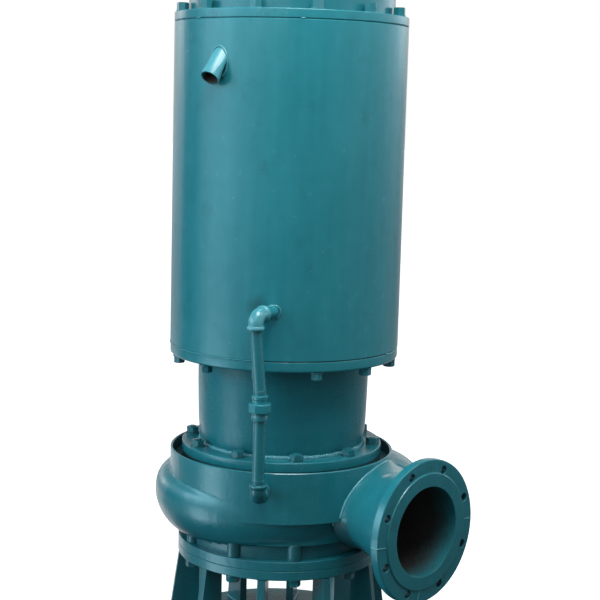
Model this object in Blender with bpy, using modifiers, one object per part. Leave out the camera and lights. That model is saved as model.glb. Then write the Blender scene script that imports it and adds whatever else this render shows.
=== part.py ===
"""Submersible mining sand pump on a ribbed stand.

The motor stands in a water jacket, an oil chamber joins it to the volute casing, and a
ribbed stand carries the casing over its bottom suction. The discharge flange faces +X,
+Z is up and the stand rests on z = 0. Angles are measured anticlockwise from +X.
"""
import math

import bmesh
import bpy
from mathutils import Matrix, Vector

# Clearance left between neighbouring pieces
FIT = 0.0003

# Faces round a large turned piece and round a small one
ROUND = 64
SMALL_ROUND = 20

# Heights above the floor
BASE_RING_TOP = 0.016
RIBS_TOP = 0.2215
STAND_RING_TOP = 0.2429
COVER_FLANGE_TOP = 0.2645
SKIRT_TOP = 0.2990
RING_WALL_BOTTOM = 0.3570
DISCHARGE_HEIGHT = 0.3560
GROOVE_FLOOR = 0.4450
RING_WALL_TOP = 0.4725
NECK_FLANGE_BOTTOM = 0.4670
NECK_FLANGE_TOP = 0.4885
JACKET_BOTTOM = 0.6960
JACKET_FLOOR_TOP = 0.7195
SHELL_TOP = 1.4478
JACKET_TOP = 1.4680
HOUSING_TOP = 1.5900
LID_TOP = 1.6140

# Radii of the turned pieces
BASE_RING_OUTER = 0.2900
BASE_RING_INNER = 0.1700
STAND_RADIUS = 0.2395
SKIRT_RADIUS = 0.2220
COLLAR_RADIUS = 0.2320
RING_WALL_RADIUS = 0.2610
RING_LIP = 0.0055
NECK_FLANGE_RADIUS = 0.2339
NECK_RADIUS = 0.1985
NECK_WALL = 0.012
JACKET_RADIUS = 0.2650
JACKET_WALL = 0.008
HOUSING_RADIUS = 0.2332
LID_RADIUS = 0.2380
IMPELLER_CHAMBER = 0.1950
IMPELLER_RADIUS = 0.1850
SHAFT_RADIUS = 0.0300
SHAFT_END = 0.2750
SHAFT_NUT_RADIUS = 0.0450
SHAFT_NUT_HEIGHT = 0.0350
SUCTION_RADIUS = 0.0850

# Discharge nozzle and its DN200 flange
DISCHARGE_FACE = 0.4280
DISCHARGE_OFFSET = 0.0270
DISCHARGE_BORE = 0.1000
THROAT_BORE = 0.0780
NOZZLE_RADIUS = 0.1165
NOZZLE_ROOT_X = 0.2550
NOZZLE_ROOT_Y = 0.0750
NOZZLE_ROOT_HALF_WIDTH = 0.1350
NOZZLE_ROOT_BACK = 0.2100
NOZZLE_ROOT_HALF_HEIGHT = 0.1020
FLANGE_RADIUS = 0.1600
FLANGE_THICKNESS = 0.0240
RAISED_FACE_RADIUS = 0.1295
RAISED_FACE_HEIGHT = 0.0030
FLANGE_BOLT_CIRCLE = 0.1400
FLANGE_HOLE_RADIUS = 0.0090
FLANGE_HOLES = 8

# Spiral of the volute, as angle travelled from the front of the pump away from the nozzle
SPIRAL_START = -30.0
SPIRAL_END = 285.0
SPIRAL_FRONT_ANGLE = -45.0
SPIRAL_ROOT = 0.2195
SPIRAL_WIDTH = 0.0320
SPIRAL_GROWTH = 0.000493
SPIRAL_TURN = 215.0
SPIRAL_RETURN = 0.000017
SPIRAL_LOWEST = 0.2690

# Stand
RIB_COUNT = 10
RIB_THICKNESS = 0.018
RIB_INNER = 0.1900
RIB_TOP_OUTER = 0.2384
RIB_FLARE = 0.136

# Bolting
CASING_BOLTS = 10
JACKET_BOLTS = 12
CASING_STUD_CIRCLE = 0.2235
NECK_BOLT_CIRCLE = 0.2150
JACKET_BOLT_CIRCLE = 0.2490
LID_BOLTS = 8
LID_BOLT_CIRCLE = 0.2080
M16_ACROSS_FLATS = 0.024
M18_ACROSS_FLATS = 0.027
M16_HEAD = 0.014
M18_NUT = 0.018
STAND_NUT = 0.020
HEAD_TURN = 17.0
HEAD_SUNK = 0.003

# Cooling by-pass pipe, DN20, and the jacket's DN32 outlet
PIPE_RADIUS = 0.01345
ELBOW_RADIUS = 0.0165
BEAD_RADIUS = 0.0188
ELBOW_REACH = 0.031
UPPER_ELBOW = Vector((0.1838, -0.2687, 0.8285))
UNION_CENTRE = Vector((0.1927, -0.2599, 0.6315))
LOWER_ELBOW = Vector((0.1925, -0.2601, 0.4330))
UPPER_ROOT = Vector((0.1672, -0.2056, 0.8285))
OUTLET_ANGLE = -79.7
OUTLET_HEIGHT = 1.3585
OUTLET_SLOPE = 49.0
OUTLET_LENGTH = 0.046
OUTLET_RADIUS = 0.0212
OUTLET_BORE = 0.0180


# Turn that lays a vertical axis along the discharge direction
ALONG_X = Matrix.Rotation(math.radians(90), 4, "Y")


def degrees_point(radius, angle, height):
    """Return the point at a radius and an angle in degrees about the pump's axis."""
    turn = math.radians(angle)
    return Vector((radius * math.cos(turn), radius * math.sin(turn), height))


def new_collection(name):
    collection = bpy.data.collections.new(name)
    bpy.context.scene.collection.children.link(collection)
    return collection


def paint(name, colour, roughness, metallic=0.0):
    material = bpy.data.materials.new(name)
    material.use_nodes = True
    shader = material.node_tree.nodes["Principled BSDF"]
    shader.inputs["Base Color"].default_value = (*colour, 1.0)
    shader.inputs["Roughness"].default_value = roughness
    shader.inputs["Metallic"].default_value = metallic
    return material


def add_object(name, mesh_or_bmesh, material, collection):
    """Make an object from a mesh or a bmesh, shade it and put it in a collection."""
    mesh = mesh_or_bmesh
    if isinstance(mesh_or_bmesh, bmesh.types.BMesh):
        mesh = bpy.data.meshes.new(name)
        mesh_or_bmesh.to_mesh(mesh)
        mesh_or_bmesh.free()
    mesh.shade_smooth()
    mesh.set_sharp_from_angle(angle=math.radians(30))
    obj = bpy.data.objects.new(name, mesh)
    collection.objects.link(obj)
    if material:
        mesh.materials.append(material)
    return obj


def turned(name, profile, material, collection, steps=ROUND, closed=True):
    """Turn a profile of (radius, height) points, listed down its outer side first."""
    bm = bmesh.new()
    corners = [bm.verts.new((radius, 0.0, height)) for radius, height in profile]
    for first, second in zip(corners, corners[1:]):
        bm.edges.new((first, second))
    if closed:
        bm.edges.new((corners[-1], corners[0]))
    obj = add_object(name, bm, material, collection)
    screw = obj.modifiers.new("Turn", "SCREW")
    screw.steps = steps
    screw.render_steps = steps
    screw.use_merge_vertices = True
    screw.merge_threshold = 0.0001
    screw.use_smooth_shade = True
    return obj


def ring(name, outer, inner, bottom, top, material, collection, steps=ROUND):
    profile = [(outer, top), (outer, bottom), (inner, bottom), (inner, top)]
    return turned(name, profile, material, collection, steps)


def aligned(direction, position):
    """Matrix that takes local +Z to a direction and the origin to a position."""
    turn = Vector(direction).to_track_quat("Z", "Y").to_matrix().to_4x4()
    return Matrix.Translation(position) @ turn


def rod(name, start, end, radius, material, collection, sides=SMALL_ROUND):
    start = Vector(start)
    end = Vector(end)
    bm = bmesh.new()
    bmesh.ops.create_cone(
        bm, cap_ends=True, segments=sides, radius1=radius, radius2=radius,
        depth=(end - start).length, matrix=aligned(end - start, (start + end) / 2))
    return add_object(name, bm, material, collection)


def pipe_run(name, points, radii, material, collection):
    """A tube with its own radius at each point, as a curve with filled caps."""
    curve = bpy.data.curves.new(name, "CURVE")
    curve.dimensions = "3D"
    curve.bevel_depth = 1.0
    curve.bevel_resolution = 3
    curve.use_fill_caps = True
    spline = curve.splines.new("POLY")
    spline.points.add(len(points) - 1)
    for spot, place, radius in zip(spline.points, points, radii):
        spot.co = (*place, 1.0)
        spot.radius = radius
    obj = bpy.data.objects.new(name, curve)
    collection.objects.link(obj)
    curve.materials.append(material)
    return obj


def combine(target, other, operation):
    modifier = target.modifiers.new(operation.title(), "BOOLEAN")
    modifier.operation = operation
    modifier.solver = "EXACT"
    modifier.object = other


def hide_cutter(obj):
    obj.hide_render = True
    obj.display_type = "WIRE"
    return obj


def bolt_heads(flange, count, circle, first_angle, bottom, top, across_flats, cutters):
    """Hex heads or nuts round a flange, joined to the plate that they clamp."""
    corner = across_flats / 2 / math.cos(math.radians(30))
    bm = bmesh.new()
    for number in range(count):
        place = degrees_point(circle, first_angle + number * 360.0 / count, (bottom + top) / 2)
        turn = Matrix.Rotation(math.radians(HEAD_TURN * number), 4, "Z")
        bmesh.ops.create_cone(
            bm, cap_ends=True, segments=6, radius1=corner, radius2=corner, depth=top - bottom,
            matrix=Matrix.Translation(place) @ turn)
    heads = hide_cutter(add_object(flange.name + "_heads", bm, None, cutters))
    combine(flange, heads, "UNION")


def stand_pieces(green, parts, cutters):
    ring("stand_base_ring", BASE_RING_OUTER, BASE_RING_INNER, 0.0, BASE_RING_TOP, green, parts)
    top_ring = ring("stand_top_ring", STAND_RADIUS, 0.178, RIBS_TOP, STAND_RING_TOP - FIT,
                    green, parts)
    bolt_heads(top_ring, CASING_BOLTS, CASING_STUD_CIRCLE, 0.0, RIBS_TOP - STAND_NUT,
               RIBS_TOP + HEAD_SUNK, M16_ACROSS_FLATS, cutters)

    bottom = BASE_RING_TOP + FIT
    top = RIBS_TOP - FIT
    foot_outer = RIB_TOP_OUTER + RIB_FLARE * (top - bottom)
    for number in range(RIB_COUNT):
        bm = bmesh.new()
        bmesh.ops.create_cube(bm, size=1.0)
        for vert in bm.verts:
            low = vert.co.z < 0
            outer = foot_outer if low else RIB_TOP_OUTER
            vert.co.x = outer if vert.co.x > 0 else RIB_INNER
            vert.co.y = math.copysign(RIB_THICKNESS / 2, vert.co.y)
            vert.co.z = bottom if low else top
        rib = add_object(f"stand_rib_{number + 1:02d}", bm, green, parts)
        rib.rotation_euler.z = math.radians((number + 0.5) * 360.0 / RIB_COUNT)


def suction_cover(green, parts):
    lip_bottom = 0.185
    profile = [
        (STAND_RADIUS, COVER_FLANGE_TOP - FIT), (STAND_RADIUS, STAND_RING_TOP),
        (0.135, STAND_RING_TOP), (0.112, 0.222), (0.112, lip_bottom),
        (SUCTION_RADIUS, lip_bottom), (SUCTION_RADIUS, COVER_FLANGE_TOP - FIT)]
    turned("suction_cover", profile, green, parts)


def superellipse(power, steps):
    """Unit quarter curve from (1, 0) to (0, 1) with rounder or squarer corners."""
    curve = []
    for number in range(steps + 1):
        turn = math.pi / 2 * number / steps
        curve.append((math.cos(turn) ** (2 / power), math.sin(turn) ** (2 / power)))
    return curve


def spiral_section(travel):
    """Outline of the volute at an angle travelled; it narrows as it turns into the nozzle."""
    past_turn = max(travel - SPIRAL_TURN, 0.0)
    width = SPIRAL_WIDTH + SPIRAL_GROWTH * travel - SPIRAL_RETURN * past_turn ** 2
    drop = min(0.057 + 0.000378 * max(travel, 0.0), DISCHARGE_HEIGHT - SPIRAL_LOWEST)
    rise = 0.062 + 0.000155 * max(travel - 60.0, 0.0)
    inner = 0.200
    lower = [
        (SPIRAL_ROOT + width * across, DISCHARGE_HEIGHT - drop * up)
        for across, up in superellipse(1.7, 6)]
    upper = [
        (SPIRAL_ROOT + width * across, DISCHARGE_HEIGHT + rise * up)
        for across, up in superellipse(3.0, 6)]
    outline = [(inner, DISCHARGE_HEIGHT - drop)] + lower[::-1] + upper[1:]
    outline.append((inner, DISCHARGE_HEIGHT + rise))
    return outline


def loft(bm, sections):
    """Skin a row of closed loops of points and close both ends."""
    loops = [[bm.verts.new(point) for point in section] for section in sections]
    for near, far in zip(loops, loops[1:]):
        for index in range(len(near)):
            following = (index + 1) % len(near)
            bm.faces.new((near[index], near[following], far[following], far[index]))
    bm.faces.new(loops[0][::-1])
    bm.faces.new(loops[-1])
    bmesh.ops.recalc_face_normals(bm, faces=bm.faces)


def volute_spiral(cutters):
    stations = 42
    sections = []
    for number in range(stations + 1):
        travel = SPIRAL_START + (SPIRAL_END - SPIRAL_START) * number / stations
        angle = SPIRAL_FRONT_ANGLE - travel
        sections.append([degrees_point(radius, angle, height)
                         for radius, height in spiral_section(travel)])
    bm = bmesh.new()
    loft(bm, sections)
    return hide_cutter(add_object("volute_spiral", bm, None, cutters))


def nozzle_body(cutters):
    """Loft from the wide root where the spiral arrives to the round end at the flange."""
    end_x = DISCHARGE_FACE - FLANGE_THICKNESS - FIT
    end_back = DISCHARGE_OFFSET + NOZZLE_RADIUS
    inner_x = 0.170
    sides = 36
    stations = 9
    sections = []
    for number in range(stations + 1):
        along = max(number - 1, 0) / (stations - 1)
        x = inner_x if number == 0 else NOZZLE_ROOT_X + (end_x - NOZZLE_ROOT_X) * along
        ease = along * along * (3 - 2 * along)
        centre_y = NOZZLE_ROOT_Y + (DISCHARGE_OFFSET - NOZZLE_ROOT_Y) * ease
        front_width = NOZZLE_ROOT_HALF_WIDTH + (NOZZLE_RADIUS - NOZZLE_ROOT_HALF_WIDTH) * ease
        back_width = end_back + (NOZZLE_ROOT_BACK - end_back) * (1 - along) ** 3 - centre_y
        half_height = NOZZLE_ROOT_HALF_HEIGHT + (NOZZLE_RADIUS - NOZZLE_ROOT_HALF_HEIGHT) * ease
        section = []
        for side in range(sides):
            across = math.cos(2 * math.pi * side / sides)
            up = math.sin(2 * math.pi * side / sides)
            half_width = back_width if across > 0 else front_width
            section.append((x, centre_y + half_width * across, DISCHARGE_HEIGHT + half_height * up))
        sections.append(section)
    bm = bmesh.new()
    loft(bm, sections)
    return hide_cutter(add_object("nozzle_body", bm, None, cutters))


def volute_casing(green, parts, cutters):
    """Ring wall, collar, spiral, bolting bosses and nozzle, cast in one piece and bored."""
    profile = [
        (0.0, RING_WALL_TOP), (RING_WALL_RADIUS, RING_WALL_TOP),
        (RING_WALL_RADIUS, RING_WALL_BOTTOM), (COLLAR_RADIUS, RING_WALL_BOTTOM),
        (COLLAR_RADIUS, SKIRT_TOP), (SKIRT_RADIUS, SKIRT_TOP),
        (SKIRT_RADIUS, COVER_FLANGE_TOP - 0.005), (0.0, COVER_FLANGE_TOP - 0.005)]
    casing = turned("volute_casing", profile, green, parts, closed=False)

    boss_radius = 0.0125
    bm = bmesh.new()
    for number in range(CASING_BOLTS):
        place = degrees_point(STAND_RADIUS - boss_radius, number * 360.0 / CASING_BOLTS, 0.2875)
        bmesh.ops.create_cone(
            bm, cap_ends=True, segments=14, radius1=boss_radius, radius2=boss_radius,
            depth=0.055, matrix=Matrix.Translation(place))
    bosses = hide_cutter(add_object("casing_bosses", bm, None, cutters))

    hollow_profile = [
        (0.0, 0.60), (RING_WALL_RADIUS - RING_LIP, 0.60),
        (RING_WALL_RADIUS - RING_LIP, GROOVE_FLOOR - 0.015), (IMPELLER_CHAMBER, GROOVE_FLOOR - 0.015),
        (IMPELLER_CHAMBER, COVER_FLANGE_TOP), (STAND_RADIUS + 0.001, COVER_FLANGE_TOP),
        (STAND_RADIUS + 0.001, 0.15), (0.0, 0.15)]
    hollow = turned("casing_hollow", hollow_profile, None, cutters, closed=False)
    hide_cutter(hollow)
    bore_profile = [
        (0.0, 0.46), (DISCHARGE_BORE, 0.46), (DISCHARGE_BORE, 0.37), (THROAT_BORE, 0.22),
        (THROAT_BORE, 0.10), (0.0, 0.10)]
    bore = turned("discharge_bore", bore_profile, None, cutters, steps=36, closed=False)
    bore.matrix_world = Matrix.Translation((0, DISCHARGE_OFFSET, DISCHARGE_HEIGHT)) @ ALONG_X
    hide_cutter(bore)

    combine(casing, volute_spiral(cutters), "UNION")
    combine(casing, nozzle_body(cutters), "UNION")
    combine(casing, bosses, "UNION")
    combine(casing, hollow, "DIFFERENCE")
    combine(casing, bore, "DIFFERENCE")
    return casing


def discharge_flange(green, parts, cutters):
    profile = [
        (RAISED_FACE_RADIUS, 0.0), (RAISED_FACE_RADIUS, -RAISED_FACE_HEIGHT),
        (FLANGE_RADIUS, -RAISED_FACE_HEIGHT), (FLANGE_RADIUS, -FLANGE_THICKNESS),
        (DISCHARGE_BORE, -FLANGE_THICKNESS), (DISCHARGE_BORE, 0.0)]
    place = Matrix.Translation((DISCHARGE_FACE, DISCHARGE_OFFSET, DISCHARGE_HEIGHT)) @ ALONG_X
    flange = turned("discharge_flange", profile, green, parts, steps=48)
    flange.matrix_world = place

    bm = bmesh.new()
    for number in range(FLANGE_HOLES):
        spot = degrees_point(FLANGE_BOLT_CIRCLE, (number + 0.5) * 360.0 / FLANGE_HOLES, 0.0)
        bmesh.ops.create_cone(
            bm, cap_ends=True, segments=12, radius1=FLANGE_HOLE_RADIUS,
            radius2=FLANGE_HOLE_RADIUS, depth=0.08, matrix=place @ Matrix.Translation(spot))
    holes = hide_cutter(add_object("flange_holes", bm, None, cutters))
    combine(flange, holes, "DIFFERENCE")


def impeller(steel, parts, cutters):
    """Closed impeller with swept vanes, and the shaft with the nut that holds it."""
    hub_low = 0.330
    back_low = 0.398
    back_high = 0.410
    eye = SUCTION_RADIUS + 0.004
    profile = [
        (IMPELLER_RADIUS, back_high), (IMPELLER_RADIUS, back_low), (0.060, back_low),
        (0.048, hub_low), (SHAFT_RADIUS + FIT, hub_low), (SHAFT_RADIUS + FIT, back_high)]
    wheel = turned("impeller", profile, steel, parts, steps=40)
    shroud = hide_cutter(ring("impeller_shroud", IMPELLER_RADIUS, eye, 0.290, 0.300, None,
                              cutters, steps=40))
    bm = bmesh.new()
    vanes = 5
    for number in range(vanes):
        shape = bmesh.ops.create_cube(bm, size=1.0)
        bmesh.ops.scale(bm, verts=shape["verts"], vec=(0.125, 0.012, 0.108))
        bmesh.ops.translate(bm, verts=shape["verts"], vec=(0.118, 0.040, 0.349))
        turn = math.radians(number * 360.0 / vanes)
        bmesh.ops.rotate(
            bm, verts=shape["verts"], cent=(0, 0, 0), matrix=Matrix.Rotation(turn, 3, "Z"))
    blades = hide_cutter(add_object("impeller_vanes", bm, None, cutters))
    combine(wheel, shroud, "UNION")
    combine(wheel, blades, "UNION")
    nut_low = hub_low - SHAFT_NUT_HEIGHT
    shaft_top = JACKET_FLOOR_TOP - FIT
    nut_top = hub_low - FIT
    profile = [
        (0.0, shaft_top), (SHAFT_RADIUS, shaft_top), (SHAFT_RADIUS, nut_top),
        (SHAFT_NUT_RADIUS, nut_top), (SHAFT_NUT_RADIUS, nut_low), (SHAFT_RADIUS, nut_low),
        (SHAFT_RADIUS, SHAFT_END), (0.0, SHAFT_END)]
    turned("pump_shaft", profile, steel, parts, steps=24, closed=False)


def neck_pieces(green, parts, cutters):
    seat = GROOVE_FLOOR - 0.015 + FIT
    shaft_gap = SHAFT_RADIUS + FIT
    lip_inner = RING_WALL_RADIUS - RING_LIP - FIT
    profile = [
        (NECK_FLANGE_RADIUS, NECK_FLANGE_BOTTOM - FIT), (NECK_FLANGE_RADIUS, GROOVE_FLOOR),
        (lip_inner, GROOVE_FLOOR), (lip_inner, seat), (shaft_gap, seat),
        (shaft_gap, NECK_FLANGE_BOTTOM - FIT)]
    turned("casing_cover", profile, green, parts)
    flange = ring("neck_flange", NECK_FLANGE_RADIUS, NECK_RADIUS - 0.040, NECK_FLANGE_BOTTOM,
                  NECK_FLANGE_TOP, green, parts)
    bolt_heads(flange, CASING_BOLTS, NECK_BOLT_CIRCLE, 0.0, NECK_FLANGE_TOP - HEAD_SUNK,
               NECK_FLANGE_TOP + M18_NUT, M18_ACROSS_FLATS, cutters)
    foot = NECK_FLANGE_TOP + FIT
    inner = NECK_RADIUS - NECK_WALL
    profile = [
        (NECK_RADIUS, JACKET_BOTTOM - FIT), (NECK_RADIUS, 0.620), (0.1960, 0.535),
        (0.1920, 0.500), (0.1890, foot), (inner - 0.012, foot), (inner - 0.002, 0.535),
        (inner, JACKET_BOTTOM - FIT)]
    turned("neck_barrel", profile, green, parts)


def jacket_pieces(green, parts, cutters):
    floor = ring("jacket_bottom_flange", JACKET_RADIUS - 0.0008, 0.110, JACKET_BOTTOM,
                 JACKET_FLOOR_TOP, green, parts)
    bolt_heads(floor, JACKET_BOLTS, JACKET_BOLT_CIRCLE, 1.8, JACKET_BOTTOM - M16_HEAD,
               JACKET_BOTTOM + HEAD_SUNK, M16_ACROSS_FLATS, cutters)
    top = ring("jacket_top_flange", JACKET_RADIUS, HOUSING_RADIUS + FIT, SHELL_TOP + FIT,
               JACKET_TOP, green, parts)
    bolt_heads(top, JACKET_BOLTS, JACKET_BOLT_CIRCLE, 27.0, JACKET_TOP - HEAD_SUNK,
               JACKET_TOP + M16_HEAD, M16_ACROSS_FLATS, cutters)
    shell = ring("jacket_shell", JACKET_RADIUS, JACKET_RADIUS - JACKET_WALL,
                 JACKET_FLOOR_TOP + FIT, SHELL_TOP, green, parts)

    slope = math.radians(OUTLET_SLOPE)
    root = degrees_point(JACKET_RADIUS, OUTLET_ANGLE, OUTLET_HEIGHT)
    outward = degrees_point(math.cos(slope), OUTLET_ANGLE, -math.sin(slope))
    mouth = root + outward * OUTLET_LENGTH
    outlet = rod("jacket_outlet", root - outward * 0.050, mouth, OUTLET_RADIUS, green, parts)
    bore = hide_cutter(rod("outlet_bore", root - outward * 0.060, mouth + outward * 0.020,
                           OUTLET_BORE, None, cutters))
    outside = hide_cutter(ring("jacket_outside", JACKET_RADIUS + FIT, 0.120, 0.40, 1.60, None,
                               cutters))
    combine(outlet, outside, "DIFFERENCE")
    combine(outlet, bore, "DIFFERENCE")
    combine(shell, bore, "DIFFERENCE")
    return outside


def motor_pieces(green, dark, parts, cutters):
    profile = [
        (0.0, HOUSING_TOP), (HOUSING_RADIUS, HOUSING_TOP),
        (HOUSING_RADIUS, JACKET_FLOOR_TOP + FIT), (0.0, JACKET_FLOOR_TOP + FIT)]
    turned("motor_housing", profile, green, parts, closed=False)
    base = HOUSING_TOP + FIT
    boss_top = LID_TOP + 0.012
    profile = [
        (0.0, boss_top), (0.165, boss_top), (0.175, LID_TOP), (LID_RADIUS, LID_TOP),
        (LID_RADIUS, base), (0.0, base)]
    lid = turned("motor_lid", profile, green, parts, closed=False)
    bolt_heads(lid, LID_BOLTS, LID_BOLT_CIRCLE, 22.5, LID_TOP - HEAD_SUNK, LID_TOP + M16_HEAD,
               M16_ACROSS_FLATS, cutters)

    lug_foot = boss_top + FIT
    for name, side in (("lifting_lug_left", 1), ("lifting_lug_right", -1)):
        curve = bpy.data.curves.new(name, "CURVE")
        curve.dimensions = "2D"
        curve.fill_mode = "BOTH"
        curve.extrude = 0.009
        outline = [(-0.050, 0.0), (0.050, 0.0)]
        for number in range(13):
            turn = math.radians(number * 180.0 / 12)
            outline.append((0.042 * math.cos(turn), 0.045 + 0.042 * math.sin(turn)))
        eye = [(0.019 * math.cos(turn), 0.045 + 0.019 * math.sin(turn))
               for turn in (-2 * math.pi * number / 16 for number in range(16))]
        for loop in (outline, eye):
            spline = curve.splines.new("POLY")
            spline.points.add(len(loop) - 1)
            spline.use_cyclic_u = True
            for spot, (x, y) in zip(spline.points, loop):
                spot.co = (x, y, 0.0, 1.0)
        lug = bpy.data.objects.new(name, curve)
        parts.objects.link(lug)
        curve.materials.append(green)
        lug.location = (0.0, side * 0.115, lug_foot)
        lug.rotation_euler = (math.radians(90), 0.0, 0.0)

    gland_x = -0.105
    foot = lug_foot
    profile = [
        (0.0, foot + 0.008), (0.019, foot + 0.008), (0.019, foot + 0.036), (0.032, foot + 0.036),
        (0.032, foot + 0.012), (0.052, foot + 0.012), (0.052, foot), (0.0, foot)]
    gland = turned("cable_gland", profile, green, parts, steps=24, closed=False)
    bm = bmesh.new()
    bmesh.ops.create_cone(
        bm, cap_ends=True, segments=6, radius1=0.043, radius2=0.043, depth=0.022,
        matrix=Matrix.Translation((0, 0, foot + 0.036 + FIT + 0.011)))
    nut = add_object("cable_gland_nut", bm, dark, parts)
    bore = hide_cutter(rod("gland_bore", (0, 0, foot + 0.020), (0, 0, foot + 0.120), 0.019,
                           None, cutters, sides=24))
    combine(nut, bore, "DIFFERENCE")
    for obj in (gland, nut, bore):
        obj.location.x = gland_x


def elbow(name, centre, away, side, material, parts):
    """Screwed elbow that turns from the vertical direction side to the direction away."""
    reach = ELBOW_REACH
    curve_radius = 0.019
    bead = 0.007
    ends = []
    for direction in (side, away):
        face = centre + direction * reach
        collar = centre + direction * (reach - bead)
        waist = centre + direction * (reach - bead - 0.002)
        ends.append((face, collar, waist))
    pivot = centre + (side + away) * curve_radius
    bend = []
    for number in range(7):
        turn = math.pi / 2 * number / 6
        bend.append(pivot - away * curve_radius * math.cos(turn) - side * curve_radius * math.sin(turn))
    points = [*ends[0], *bend, *reversed(ends[1])]
    radii = [BEAD_RADIUS, BEAD_RADIUS, *[ELBOW_RADIUS] * (len(bend) + 2), BEAD_RADIUS, BEAD_RADIUS]
    return pipe_run(name, points, radii, material, parts)


def bypass_pieces(green, parts, cutters, jacket_outside):
    """Cooling pipe from the jacket's foot down to the casing's ring wall."""
    up = Vector((0, 0, 1))
    upper_away = (UPPER_ROOT - UPPER_ELBOW).normalized()
    lower_away = Vector((-LOWER_ELBOW.x, -LOWER_ELBOW.y, 0)).normalized()
    elbow("bypass_upper_elbow", UPPER_ELBOW, upper_away, -up, green, parts)
    elbow("bypass_lower_elbow", LOWER_ELBOW, lower_away, up, green, parts)

    nipple = rod("jacket_nipple", UPPER_ELBOW + upper_away * (ELBOW_REACH + FIT),
                 UPPER_ELBOW + upper_away * 0.090, PIPE_RADIUS, green, parts)
    combine(nipple, jacket_outside, "DIFFERENCE")
    wall = hide_cutter(ring("ring_wall_outside", RING_WALL_RADIUS + FIT, 0.150, 0.30, 0.50, None,
                            cutters))
    nipple = rod("casing_nipple", LOWER_ELBOW + lower_away * (ELBOW_REACH + FIT),
                 LOWER_ELBOW + lower_away * 0.090, PIPE_RADIUS, green, parts)
    combine(nipple, wall, "DIFFERENCE")

    nut_half = 0.0100
    tail = 0.0170
    tail_radius = 0.0175
    neck = tail_radius - 0.001
    top = UNION_CENTRE + up * (nut_half + FIT)
    pipe_run("union_upper_tail", [top, top + up * 0.004, top + up * tail], [neck, tail_radius, neck],
             green, parts)
    bottom = UNION_CENTRE - up * (nut_half + FIT)
    pipe_run("union_lower_tail", [bottom, bottom - up * 0.004, bottom - up * tail],
             [neck, tail_radius, neck], green, parts)
    bm = bmesh.new()
    bmesh.ops.create_cone(
        bm, cap_ends=True, segments=8, radius1=0.0255, radius2=0.0255, depth=2 * nut_half,
        matrix=Matrix.Translation(UNION_CENTRE) @ Matrix.Rotation(math.radians(22.5), 4, "Z"))
    add_object("union_nut", bm, green, parts)

    start = UPPER_ELBOW - up * (ELBOW_REACH + FIT)
    end = top + up * (tail + FIT)
    pipe_run("bypass_upper_pipe", [start, start - up * 0.004, end + up * 0.004, end],
             [PIPE_RADIUS] * 4, green, parts)
    start = bottom - up * (tail + FIT)
    end = LOWER_ELBOW + up * (ELBOW_REACH + FIT)
    pipe_run("bypass_lower_pipe", [start, start - up * 0.004, end + up * 0.004, end],
             [PIPE_RADIUS] * 4, green, parts)


def centre_on_origin(parts, cutters):
    """Shift everything so that the middle of its outline on the floor is the origin."""
    bpy.context.view_layer.update()
    graph = bpy.context.evaluated_depsgraph_get()
    points = []
    for obj in parts.objects:
        shaped = obj.evaluated_get(graph)
        points.extend(shaped.matrix_world @ vert.co for vert in shaped.to_mesh().vertices)
        shaped.to_mesh_clear()
    middle_x = (min(point.x for point in points) + max(point.x for point in points)) / 2
    middle_y = (min(point.y for point in points) + max(point.y for point in points)) / 2
    pump = bpy.data.objects.new("pump_axis", None)
    parts.objects.link(pump)
    for obj in [*parts.objects, *cutters.objects]:
        if obj is not pump:
            obj.parent = pump
    pump.location = (-middle_x, -middle_y, 0.0)


def main():
    for obj in list(bpy.data.objects):
        bpy.data.objects.remove(obj, do_unlink=True)
    parts = new_collection("mining_sand_pump")
    cutters = new_collection("cutters")
    green = paint("teal_enamel", (0.022, 0.205, 0.235), 0.35)
    steel = paint("cast_iron", (0.16, 0.15, 0.14), 0.6, 0.6)
    dark = paint("gland_green", (0.018, 0.16, 0.18), 0.4)

    stand_pieces(green, parts, cutters)
    suction_cover(green, parts)
    volute_casing(green, parts, cutters)
    discharge_flange(green, parts, cutters)
    impeller(steel, parts, cutters)
    neck_pieces(green, parts, cutters)
    jacket_outside = jacket_pieces(green, parts, cutters)
    motor_pieces(green, dark, parts, cutters)
    bypass_pieces(green, parts, cutters, jacket_outside)
    centre_on_origin(parts, cutters)


main()
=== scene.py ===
"""Mining sand pump on a ribbed stand.

Every piece is modelled in the pump's own axes, with the shaft on x = y = 0 and the floor at
z = 0, and its mesh is then moved to where the pump stands. Angles are measured anticlockwise
from +X, the way the discharge faces.
"""

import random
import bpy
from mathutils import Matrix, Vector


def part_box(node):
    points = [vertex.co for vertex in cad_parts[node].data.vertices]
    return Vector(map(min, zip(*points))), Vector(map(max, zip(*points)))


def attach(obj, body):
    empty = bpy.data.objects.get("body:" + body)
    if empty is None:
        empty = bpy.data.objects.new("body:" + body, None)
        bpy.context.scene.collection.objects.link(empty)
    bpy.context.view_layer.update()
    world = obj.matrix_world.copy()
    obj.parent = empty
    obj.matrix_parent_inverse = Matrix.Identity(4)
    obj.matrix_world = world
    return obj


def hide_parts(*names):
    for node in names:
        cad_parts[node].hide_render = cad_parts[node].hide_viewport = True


bl_info = {
    "name": "Mining sand pump",
    "version": (1, 0, 0),
    "blender": (4, 5, 0),
    "location": "3D View > Sidebar > Pump",
    "description": "Builds the finished pieces of a submersible sand pump on a ribbed stand",
    "category": "Add Mesh",
}

from functools import cache
from math import atan2, copysign, cos, degrees, exp, hypot, pi, radians, sin, sqrt, tan

import bmesh
import bpy
import numpy as np
from bpy.props import FloatProperty, FloatVectorProperty, IntProperty, PointerProperty
from mathutils import Matrix, Vector, noise

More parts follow.
